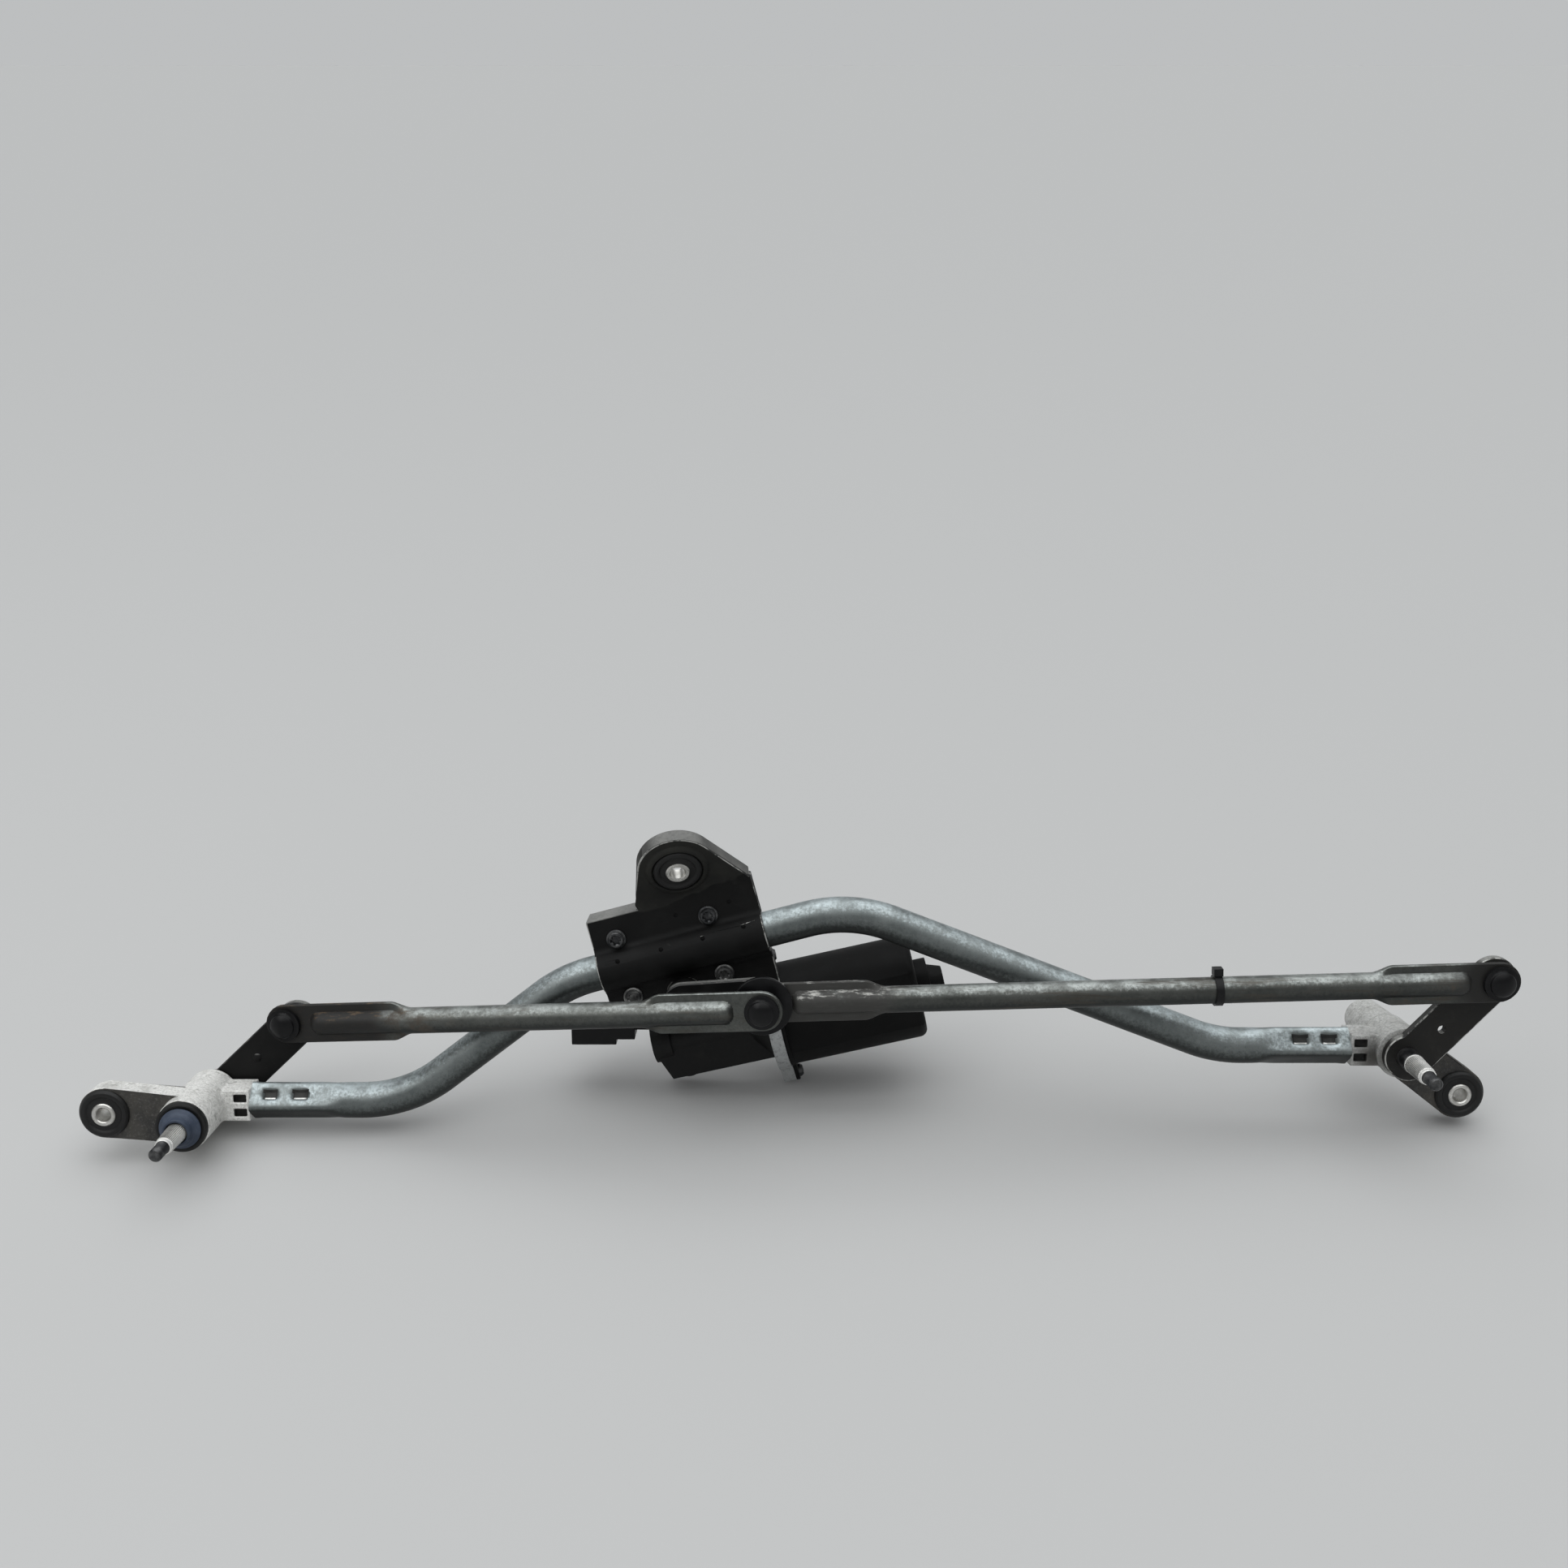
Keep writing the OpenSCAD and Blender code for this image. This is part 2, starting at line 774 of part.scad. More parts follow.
cover_screw_a = [20, 100, 160, 215];
cover_screw_r = 1.3;
cover_screw_in = 5;
dish_t = 2;
dish_in = 12;
dish_slope = 4;
cover_screw_at = cavity_r + case_wall / 2;
module gear_cover() {
    color(black_plastic)
        place()
            difference() {
                union() {
                    translate([0, 0, case_rear - cover_t])
                        cylinder(r = case_r, h = cover_t);
                    translate([0, 0, case_rear - cover_t - dish_t])
                        cylinder(r1 = case_r - dish_in, r2 = case_r - dish_in + dish_slope, h = dish_t);
                }
                for (a = cover_screw_a)
                    rotate([0, 0, a])
                        translate([cover_screw_at, 0, case_rear - cover_t - cut])
                            cylinder(r = cover_screw_r + free_gap, h = cover_t + 2 * cut);
            }
}

module cover_screws() {
    color(dark_steel)
        place()
            for (a = cover_screw_a)
                rotate([0, 0, a])
                    translate([cover_screw_at, 0, case_rear - cover_t])
                        rotate([180, 0, 0])
                            pan_screw(cover_screw_r, 2 * cover_screw_r, 1.8, cover_t + cover_screw_in);
}

// Plug socket at the lower left of the gear housing
socket_at = [-56.5, -43.5];
socket_size = [41, 12, 18];
socket_wall = 2;
socket_depth = 26;
socket_stem = [32, 12, 10];
socket_step = [12, 3.5];
socket_corner = [
    socket_at[0] - socket_size[0] / 2,
    socket_at[1] - socket_size[1] / 2,
    case_rear - socket_wall];
module connector_socket() {
    color(black_plastic)
        place()
            difference() {
                union() {
                    translate(socket_corner)
                        cube(socket_size);
                    translate([socket_at[0], socket_at[1] + socket_wall, case_rear])
                        cube(socket_stem);
                }
                translate(socket_corner + [-cut, socket_wall, socket_wall])
                    cube([socket_depth, socket_size[1] - 2 * socket_wall, socket_size[2] - 2 * socket_wall]);
                translate(socket_corner + [socket_size[0] - socket_step[0], -cut, -cut])
                    cube([socket_step[0] + cut, socket_step[1] + cut, socket_size[2] + 2 * cut]);
                translate([0, 0, case_rear - cover_t - cut])
                    cylinder(r = case_r + press_gap, h = case_top - case_rear + 2 * cut + cover_t);
                on_motor()
                    translate([0, 0, tunnel_start - cut])
                        cylinder(r = tunnel_r + tunnel_lip + press_gap, h = can_at);
            }
}

// Section of the can across the armature axis, drawn in by g
module can_outline(g) {
    intersection() {
        circle(r = can_r - g);
        square([2 * (can_flat - g), 2 * can_r], center = true);
    }
}

can_screw_r = 2;
can_screw_head = 4.2;
can_screw_h = 2.8;
plug_end = 4;
plug_taper = 3;
module motor_can() {
    color(e_coat)
        place()
            on_motor()
                difference() {
                    union() {
                        translate([0, 0, can_at])
                            linear_extrude(height = can_l)
                                can_outline(0);
                        translate([0, 0, can_at])
                            motor_flange(can_r + 1, can_wall);
                        translate([0, 0, can_at + can_l])
                            cylinder(r = boss_r, h = boss_l);
                        translate([0, 0, can_at + can_l + boss_l])
                            cylinder(r1 = plug_r + 1, r2 = plug_r + 1 - plug_taper, h = plug_l);
                    }
                    translate([0, 0, can_at - cut])
                        linear_extrude(height = can_l - can_wall + cut)
                            can_outline(can_wall);
                    translate([0, 0, can_at])
                        cylinder(r = bearing_r + press_gap, h = can_l + boss_l + plug_l - plug_end);
                    for (side = [-1, 1])
                        translate([0, side * ear_at, can_at - cut])
                            cylinder(r = can_screw_r + free_gap, h = can_wall + 2 * cut);
                }
}

module can_screws() {
    color(dark_steel)
        place()
            on_motor()
                for (side = [-1, 1])
                    translate([0, side * ear_at, can_at + can_wall])
                        pan_screw(can_screw_r, can_screw_head, can_screw_h, can_wall + flange_t);
}

module field_magnets() {
    reach = 46;
    color(dark_steel)
        place()
            on_motor()
                translate([0, 0, core_at - 2])
                    for (side = [0, 180])
                        rotate([0, 0, 90 - reach + side])
                            rotate_extrude(angle = 2 * reach)
                                translate([magnet_in, 0])
                                    square([magnet_out - magnet_in, core_l + 4]);
}

brush_w = 6;
brush_l = 9;
brush_h = 8;
brush_at = commutator_at + 3;
guide_wall = 1.5;
guide_end = 2;
module brush_holder() {
    base_t = 3;
    color(bronze)
        place()
            on_motor()
                difference() {
                    union() {
                        translate([0, 0, can_at])
                            cylinder(r = can_flat - can_wall - free_gap, h = base_t);
                        for (side = [0, 180])
                            rotate([0, 0, side])
                                translate([commutator_r + guide_wall, -brush_w / 2 - guide_wall, can_at])
                                    cube([
                                        brush_l + guide_end,
                                        brush_w + 2 * guide_wall,
                                        brush_at + brush_h + guide_wall - can_at]);
                    }
                    translate([0, 0, can_at - cut])
                        cylinder(r = worm_bore, h = core_at - can_at);
                    for (side = [0, 180])
                        rotate([0, 0, side])
                            translate([commutator_r, -brush_w / 2 - press_gap, brush_at - press_gap])
                                cube([brush_l + press_gap, brush_w + 2 * press_gap, brush_h + 2 * press_gap]);
                }
}

commutator_r = 10;
module carbon_brushes() {
    color(dark_steel)
        place()
            on_motor()
                for (side = [0, 180])
                    rotate([0, 0, side])
                        translate([commutator_r + free_gap, -brush_w / 2, brush_at])
                            cube([brush_l - free_gap, brush_w, brush_h]);
}

end_bearing_l = 9;
module rear_bearing() {
    color(bronze)
        place()
            on_motor()
                translate([0, 0, can_at + can_l])
                    ring(bearing_r, shaft_r + run_gap, end_bearing_l);
}

module worm_bearing() {
    color(bronze)
        place()
            on_motor() {
                translate([0, 0, tunnel_start + case_wall])
                    ring(worm_bore - press_gap, shaft_r + run_gap, end_bearing_l);
                translate([0, 0, can_at - end_bearing_l - 2])
                    ring(worm_bore - press_gap, shaft_r + run_gap, end_bearing_l);
            }
}

module output_bush() {
    color(bronze)
        place()
            translate([0, 0, case_front])
                ring(output_r + run_gap + bearing_wall, output_r + run_gap, tower_top - case_front);
}

module spindle_bushes(p, front, rear) {
    for (z = [-rear, front - bearing_l])
        at(p, z)
            ring(spindle_r + run_gap + bearing_wall, spindle_r + run_gap, bearing_l);
}

module left_spindle_bushes() {
    color(bronze)
        place()
            spindle_bushes(left_p, left_front, left_rear);
}

module right_spindle_bushes() {
    color(bronze)
        place()
            spindle_bushes(right_p, right_front, right_rear);
}

clip_t = 1.2;
clip_w = 3;
seal_t = 4.5;
dome_r = 12.5;
dome_h = 4;
module left_seal() {
    color(black_rubber)
        place()
            at(left_p, left_front)
                ring(barrel_r - 0.5, dome_r - 1, seal_t);
}

// Domed cap over the front clip, round the spindle
module left_dust_cap() {
    color(dust_blue)
        place()
            at(left_p, left_front + seal_t)
                rotate_extrude()
                    polygon([
                        [spindle_r + free_gap, 0],
                        [dome_r, 0],
                        [dome_r, 1],
                        [dome_r - 2, 2.6],
                        [spindle_r + 1.5, dome_h],
                        [spindle_r + free_gap, dome_h]]);
}

// Crank body

shaft_set = 1.5;
module output_shaft() {
    color(bright_steel)
        place()
            translate([0, 0, case_rear + shaft_set])
                cylinder(r = output_r, h = crank_front + nut_h - case_rear - shaft_set);
}

// Worm wheel with straight teeth round a thinner web
module worm_wheel() {
    root = wheel_tip_r - tooth_h;
    step = 360 / teeth;
    corners = [[-0.36, root], [-0.14, wheel_tip_r], [0.14, wheel_tip_r], [0.36, root]];
    web_d = 3;
    rim_w = 4;
    hub_w = 6;
    color([0.85, 0.83, 0.75])
        place()
            translate([0, 0, wheel_z - wheel_t / 2])
                difference() {
                    linear_extrude(height = wheel_t)
                        polygon([for (i = [0 : teeth - 1], k = [0 : 3])
                            let (a = (i + corners[k][0]) * step, r = corners[k][1])
                                [r * cos(a), r * sin(a)]]);
                    translate([0, 0, wheel_t - web_d])
                        ring(root - rim_w, output_r + hub_w, web_d + cut);
                    translate([0, 0, -cut])
                        cylinder(r = output_r + press_gap, h = wheel_t + 2 * cut);
                }
}

module crank_arm() {
    color(e_coat)
        place()
            difference() {
                translate([0, 0, crank_z])
                    link([0, 0], pin_p, lever_w - 1, lever_w - 1, plate_t);
                translate([0, 0, crank_z - cut])
                    cylinder(r = output_r + press_gap, h = plate_t + 2 * cut);
                at(pin_p, crank_z - cut)
                    cylinder(r = stud_r + press_gap, h = plate_t + 2 * cut);
            }
}

nut_r = 7.5;
module crank_nut() {
    color(bright_steel)
        place()
            translate([0, 0, crank_front])
                difference() {
                    cylinder(r = nut_r, h = nut_h, $fn = 6);
                    translate([0, 0, -cut])
                        cylinder(r = output_r + press_gap, h = nut_h + 2 * cut);
                }
}

// Ball studs, drawn along z
stud_r = 5.5;
collar_r = 8;
collar_t = 1.5;
neck_r = 3.6;
module crank_ball_stud() {
    color(bright_steel)
        place()
            at(pin_p) {
                translate([0, 0, crank_z])
                    cylinder(r = stud_r, h = plate_t);
                translate([0, 0, crank_front])
                    cylinder(r = collar_r, h = collar_t);
                translate([0, 0, crank_front])
                    cylinder(r = neck_r, h = outer_ball_z - crank_front);
                translate([0, 0, inner_ball_z])
                    sphere(r = ball_r);
                translate([0, 0, outer_ball_z])
                    sphere(r = ball_r);
            }
}

// Armature body

worm_over = 0.8;
module armature_shaft() {
    color(bright_steel)
        place()
            on_motor() {
                translate([0, 0, tunnel_start + case_wall + free_gap])
                    cylinder(r = shaft_r, h = can_at + can_l + end_bearing_l - tunnel_start - case_wall);
                translate([0, 0, -worm_l / 2])
                    cylinder(r = shaft_r + worm_over, h = worm_l);
            }
}

slots = 12;
slot_d = 9;
slot_w = 2.4;
module armature_core() {
    color(dark_steel)
        place()
            on_motor()
                translate([0, 0, core_at])
                    difference() {
                        cylinder(r = core_r, h = core_l);
                        translate([0, 0, -cut])
                            cylinder(r = shaft_r + press_gap, h = core_l + 2 * cut);
                        for (i = [0 : slots - 1])
                            rotate([0, 0, i * 360 / slots])
                                translate([core_r - slot_d, -slot_w / 2, -cut])
                                    cube([slot_d + cut, slot_w, core_l + 2 * cut]);
                    }
}

winding_l = 7;
winding_in = 3;
module armature_windings() {
    color(copper)
        place()
            on_motor()
                for (z = [core_at - winding_l, core_at + core_l])
                    translate([0, 0, z])
                        ring(core_r - winding_in, shaft_r + press_gap, winding_l);
}

module commutator() {
    color(copper)
        place()
            on_motor()
                translate([0, 0, commutator_at])
                    ring(commutator_r, shaft_r + press_gap, core_at - winding_l - commutator_at);
}

// Wiper spindles with a serrated seat, a ring and a threaded tip, from z0 to z1
ring_t = 2.5;
ring_over = 0.8;
seat_step = 0.4;
left_seat_l = 20;
right_seat_l = 19;
module spindle(z0, seat_z, z1) {
    seat_l = z1 - thread_l - ring_t - seat_z;
    translate([0, 0, z0])
        cylinder(r = spindle_r, h = seat_z - z0);
    translate([0, 0, seat_z])
        cylinder(r1 = spindle_r - seat_step, r2 = seat_r, h = seat_l);
    translate([0, 0, seat_z + seat_l])
        cylinder(r = thread_r + ring_over, h = ring_t);
    translate([0, 0, z1 - thread_l])
        cylinder(r = thread_r, h = thread_l);
}

module left_spindle() {
    top = left_front + left_tip;
    color(bright_steel)
        place()
            at(left_p)
                spindle(left_lever_z, top - thread_l - ring_t - left_seat_l, top);
}

module right_spindle() {
    top = right_lever_z + plate_t + right_tip;
    color(bright_steel)
        place()
            at(right_p)
                spindle(-right_rear - clip_w, top - thread_l - ring_t - right_seat_l, top);
}

rivet_r = 5.5;
hole_r = 2.5;
hole_share = 0.38;
// Offset of a lever's plate to the right of the line from p to its ball
function plate_off(p, ball, shift) = shift * [sin(heading(p, ball)), -cos(heading(p, ball))];
module lever(p, ball, z, shift) {
    off = plate_off(p, ball, shift);
    difference() {
        translate([0, 0, z]) {
            link(p + off, ball + off, lever_w, lever_w, plate_t);
            at(p)
                cylinder(r = lever_w, h = plate_t);
        }
        at(p, z - cut)
            cylinder(r = spindle_r + press_gap, h = plate_t + 2 * cut);
        at(ball, z - cut)
            cylinder(r = rivet_r + press_gap, h = plate_t + 2 * cut);
    }
}

module left_lever() {
    color(e_coat)
        place()
            lever(left_p, left_ball_p, left_lever_z, left_shift);
}

right_hole_p = right_p + plate_off(right_p, right_ball_p, right_shift)
    + hole_share * (right_ball_p - right_p);
module right_lever() {
    color(e_coat)
        place()
            difference() {
                lever(right_p, right_ball_p, right_lever_z, right_shift);
                at(right_hole_p, right_lever_z - cut)
                    cylinder(r = hole_r, h = plate_t + 2 * cut);
            }
}

// Retaining clips round the spindles
module left_clip() {
    color(dark_steel)
        place()
            at(left_p, left_front + free_gap)
                ring(spindle_r + clip_w, spindle_r + press_gap, clip_t);
}

module right_clip() {
    color(dark_steel)
        place()
            at(right_p, -right_rear - free_gap - clip_t)
                ring(spindle_r + clip_w, spindle_r + press_gap, clip_t);
}

// Riveted foot of a lever's ball stud, its head behind the lever
rivet_head = 2;
rivet_lip = 2.5;
module rivet(z) {
    translate([0, 0, z])
        cylinder(r = rivet_r, h = plate_t);
    translate([0, 0, z - rivet_head])
        cylinder(r1 = rivet_r + rivet_lip - 1, r2 = rivet_r + rivet_lip, h = rivet_head);
}

module left_rivet() {
    color(dark_steel)
        place()
            at(left_ball_p)
                rivet(left_lever_z);
}

module right_rivet() {
    color(dark_steel)
        place()
            at(right_ball_p)
                rivet(right_lever_z);
}

// Rods, drawn along x from the crank ball at the origin, with the bead of the pressed ends in front

module rod_end() {
    taper = 12;
    nose = 25;
    translate([0, 0, -rod_flat_t / 2])
        linear_extrude(height = rod_flat_t) {
            circle(r = rod_eye_r);
            polygon([
                [0, -rod_eye_r],
                [rod_flat_l - taper, -rod_eye_r],
                [rod_flat_l, -rod_r],
                [rod_flat_l, rod_r],
                [rod_flat_l - taper, rod_eye_r],
                [0, rod_eye_r]]);
        }
    intersection() {
        union() {
            translate([nose, 0, 0])
                rotate([0, 90, 0])
                    cylinder(r = rod_r, h = rod_flat_l - nose);
            translate([nose, 0, 0])
                sphere(r = rod_r);
        }
        translate([0, -rod_r, 0])
            cube([rod_flat_l, 2 * rod_r, rod_r]);
    }
}

rod_plug = 3;
module rod(l) {
    difference() {
        union() {
            translate([rod_flat_l, 0, 0])
                rotate([0, 90, 0])
                    cylinder(r = rod_r, h = l - 2 * rod_flat_l);
            rod_end();
            translate([l, 0, 0])
                mirror([1, 0, 0])
                    rod_end();
        }
        for (x = [0, l])
            translate([x, 0, -rod_r])
                cylinder(r = socket_r + press_gap, h = 2 * rod_r);
        translate([rod_flat_l + rod_plug, 0, 0])
            rotate([0, 90, 0])
                cylinder(r = rod_r - rod_wall, h = l - 2 * (rod_flat_l + rod_plug));
    }
}

// Puts a rod between a ball of the crank and the ball of a lever
module on_rod(z0, ball, z1) {
    l = span(pin_p, ball);
    at(pin_p, z0)
        rotate([0, 0, heading(pin_p, ball)])
            rotate([0, -atan((z1 - z0) / l), 0])
                children();
}

left_rod_l = norm([span(pin_p, left_ball_p), left_ball_z - outer_ball_z]);
right_rod_l = norm([span(pin_p, right_ball_p), right_ball_z - inner_ball_z]);

// Plastic ball socket in a rod's eye, with a domed cap in front
socket_r = 8.8;
socket_rim = 10.3;
socket_back = 5;
socket_front = 8.6;
rim_h = 2.6;
cap_r = 7.6;
cap_drop = 4;
mouth_w = 2.6;
mouth_in = 0.8;
neck_room = 1.2;
module socket(through) {
    flat = rod_flat_t / 2;
    difference() {
        union() {
            translate([0, 0, -flat])
                cylinder(r = socket_r, h = rod_flat_t);
            translate([0, 0, -socket_back])
                cylinder(r = socket_rim, h = socket_back - flat);
            translate([0, 0, flat])
                cylinder(r = socket_rim, h = rim_h);
            if (!through)
                intersection() {
                    translate([0, 0, flat])
                        cylinder(r = cap_r, h = socket_front - flat);
                    translate([0, 0, -cap_drop])
                        sphere(r = socket_front + cap_drop);
                }
        }
        sphere(r = ball_r + ball_gap);
        translate([0, 0, -socket_back - cut])
            cylinder(r1 = neck_r + mouth_w, r2 = neck_r + mouth_in, h = socket_back);
        if (through)
            cylinder(r = neck_r + neck_room, h = socket_front + cut);
    }
}

module lever_socket(l) {
    translate([l, 0, 0])
        socket(false);
}

// Ball of a lever's stud, its collar on the lever face
module lever_ball(ball, z) {
    at(ball, z) {
        sphere(r = ball_r);
        translate([0, 0, free_gap - ball_h])
            cylinder(r = neck_r, h = ball_h - free_gap);
        translate([0, 0, free_gap - ball_h])
            cylinder(r = collar_r, h = collar_t);
    }
}

module left_rod() {
    color(zinc)
        place()
            on_rod(outer_ball_z, left_ball_p, left_ball_z)
                rod(left_rod_l);
}

module left_rod_lever_socket() {
    color(black_plastic)
        place()
            on_rod(outer_ball_z, left_ball_p, left_ball_z)
                lever_socket(left_rod_l);
}

module left_rod_crank_socket() {
    color(black_plastic)
        place()
            on_rod(outer_ball_z, left_ball_p, left_ball_z)
                socket(false);
}

module left_ball_stud() {
    color(bright_steel)
        place()
            lever_ball(left_ball_p, left_ball_z);
}

module right_rod() {
    color(zinc)
        place()
            on_rod(inner_ball_z, right_ball_p, right_ball_z)
                rod(right_rod_l);
}

module right_rod_lever_socket() {
    color(black_plastic)
        place()
            on_rod(inner_ball_z, right_ball_p, right_ball_z)
                lever_socket(right_rod_l);
}

// Socket with a wide disc that keeps the two rods apart
disc_r = 18;
disc_t = 3;
module right_rod_crank_socket() {
    color(black_plastic)
        place()
            on_rod(inner_ball_z, right_ball_p, right_ball_z) {
                socket(true);
                translate([0, 0, rod_flat_t / 2 + rim_h])
                    ring(disc_r, neck_r + neck_room, disc_t);
            }
}

module right_ball_stud() {
    color(bright_steel)
        place()
            lever_ball(right_ball_p, right_ball_z);
}

tie_w = 4.5;
tie_t = 1.3;
tie_head = [6, 4.5, 5.5];
module cable_tie() {
    color(black_plastic)
        place()
            on_rod(inner_ball_z, right_ball_p, right_ball_z)
                translate([tie_at - tie_w / 2, 0, 0])
                    rotate([0, 90, 0]) {
                        ring(rod_r + press_gap + tie_t, rod_r + press_gap, tie_w);
                        translate([-tie_head[0] / 2, rod_r + tie_t, (tie_w - tie_head[2]) / 2])
                            cube(tie_head);
                    }
}

frame_tube();
left_housing();
right_housing();
left_bush_rubber();
left_bush_sleeve();
right_bush_rubber();
right_bush_sleeve();
centre_bush_rubber();
centre_bush_sleeve();
mount_bracket();
motor_screws();
gear_housing();
gear_cover();
cover_screws();
connector_socket();
motor_can();
can_screws();
field_magnets();
brush_holder();
carbon_brushes();
rear_bearing();
worm_bearing();
output_bush();
left_spindle_bushes();
right_spindle_bushes();
left_seal();
left_dust_cap();
output_shaft();
worm_wheel();
crank_arm();
crank_nut();
crank_ball_stud();
armature_shaft();
armature_core();
armature_windings();
commutator();
left_spindle();
left_lever();
left_clip();
left_rivet();
right_spindle();
right_lever();
right_clip();
right_rivet();
left_rod();
left_rod_lever_socket();
left_rod_crank_socket();
left_ball_stud();
right_rod();
right_rod_lever_socket();
right_rod_crank_socket();
right_ball_stud();
cable_tie();
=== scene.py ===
"""Looks of a front windscreen wiper linkage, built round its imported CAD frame."""

import json
from collections import namedtuple
from math import atan2, cos, degrees, hypot, pi, radians, sin, sqrt, tan

import bmesh
import bpy
from mathutils import Matrix, Vector


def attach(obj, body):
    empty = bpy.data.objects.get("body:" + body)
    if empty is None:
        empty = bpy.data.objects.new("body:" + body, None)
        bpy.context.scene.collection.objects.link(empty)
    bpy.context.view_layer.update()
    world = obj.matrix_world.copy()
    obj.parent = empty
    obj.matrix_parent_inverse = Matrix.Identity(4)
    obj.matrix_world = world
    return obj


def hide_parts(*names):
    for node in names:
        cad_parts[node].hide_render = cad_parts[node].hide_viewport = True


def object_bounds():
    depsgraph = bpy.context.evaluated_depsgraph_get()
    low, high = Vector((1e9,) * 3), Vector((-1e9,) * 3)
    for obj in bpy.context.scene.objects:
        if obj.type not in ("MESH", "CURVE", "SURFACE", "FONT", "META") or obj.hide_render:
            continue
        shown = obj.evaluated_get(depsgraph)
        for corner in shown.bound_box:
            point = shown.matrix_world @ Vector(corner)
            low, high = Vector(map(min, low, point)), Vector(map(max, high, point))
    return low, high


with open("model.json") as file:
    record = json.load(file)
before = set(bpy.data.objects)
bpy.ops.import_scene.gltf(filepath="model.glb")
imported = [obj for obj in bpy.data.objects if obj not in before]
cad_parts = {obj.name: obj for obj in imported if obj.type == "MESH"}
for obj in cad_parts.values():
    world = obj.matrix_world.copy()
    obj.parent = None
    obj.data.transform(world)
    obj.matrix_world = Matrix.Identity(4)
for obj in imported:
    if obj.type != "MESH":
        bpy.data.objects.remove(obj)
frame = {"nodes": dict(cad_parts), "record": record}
cad_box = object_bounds()

# Linkage plane in millimetres: x right, y up in the plane, z along the spindles, crank axis at the origin
LEAN = 14
BUSH_X, BUSH_Y, BUSH_Z = -3.261, 81.8696, 12.7325
LINKAGE = (Matrix.Scale(0.001, 4) @ Matrix.Rotation(radians(90 - LEAN), 4, "X")
           @ Matrix.Translation((-BUSH_X, -BUSH_Y, -BUSH_Z)))
CRANK_R, CRANK_ANGLE = 48, 4
LEFT_LEVER_R, LEFT_LEVER_ANGLE = 71.5, 43.5
RIGHT_LEVER_R, RIGHT_LEVER_ANGLE = 69.5, 47.5
LEFT_LUG_R, LEFT_LUG_ANGLE = 50, 175
RIGHT_LUG_R, RIGHT_LUG_ANGLE = 54, -37
TUBE_SLOPE, TUBE_OFFSET = 14.9, 26.2
PLATE_FRONT = 4
TAB_RISE, TAB_MIDDLE, TAB_BEND = 63, 1.5, 30
MOTOR_SLOPE, MOTOR_DROP, MOTOR_DEPTH = 12.8, 42, 46


def swung(reach, angle):
    """A step in the linkage plane, at an angle in degrees."""
    return reach * Vector((cos(radians(angle)), sin(radians(angle)), 0))


def spot(x, y, z):
    """A place of the linkage plane in the row frame, in metres."""
    return LINKAGE @ Vector((x, y, z))


def row_way(x, y, z):
    """A direction of the linkage plane in the row frame."""
    return (LINKAGE.to_3x3() @ Vector((x, y, z))).normalized()


LEFT_SPINDLE = Vector((-300, -70, 0))
RIGHT_SPINDLE = Vector((439, -34, 0))
CRANK_PIN = Vector((CRANK_R * cos(radians(CRANK_ANGLE)), CRANK_R * sin(radians(CRANK_ANGLE)), 0))
LEFT_BALL = LEFT_SPINDLE + swung(LEFT_LEVER_R, LEFT_LEVER_ANGLE)
RIGHT_BALL = RIGHT_SPINDLE + swung(RIGHT_LEVER_R, RIGHT_LEVER_ANGLE)
INNER_BALL_Z, OUTER_BALL_Z, LEFT_BALL_Z, RIGHT_BALL_Z = 29.03, 44.03, -2.0, 32.0
LEFT_BUSH = LEFT_SPINDLE + swung(LEFT_LUG_R, LEFT_LUG_ANGLE)
RIGHT_BUSH = RIGHT_SPINDLE + swung(RIGHT_LUG_R, RIGHT_LUG_ANGLE)
PLATE_TURN = Matrix.Rotation(radians(TUBE_SLOPE), 4, "Z")
TAB = (PLATE_TURN @ Matrix.Translation((0, TAB_RISE, TAB_MIDDLE))
       @ Matrix.Rotation(radians(TAB_BEND), 4, "X"))
MOTOR = (Matrix.Rotation(radians(MOTOR_SLOPE), 4, "Z") @ Matrix.Translation((0, -MOTOR_DROP, -MOTOR_DEPTH))
         @ Matrix.Rotation(radians(90), 4, "Y"))
SPINDLE_WAY = row_way(0, 0, 1)
PLATE_WAY = row_way(-sin(radians(TUBE_SLOPE)), cos(radians(TUBE_SLOPE)), 0)
UP = (0, 0, 1)
BODY_OF = {node: body for body, nodes in frame["record"]["behaviour"]["bodies"].items() for node in nodes}


# Node building helpers

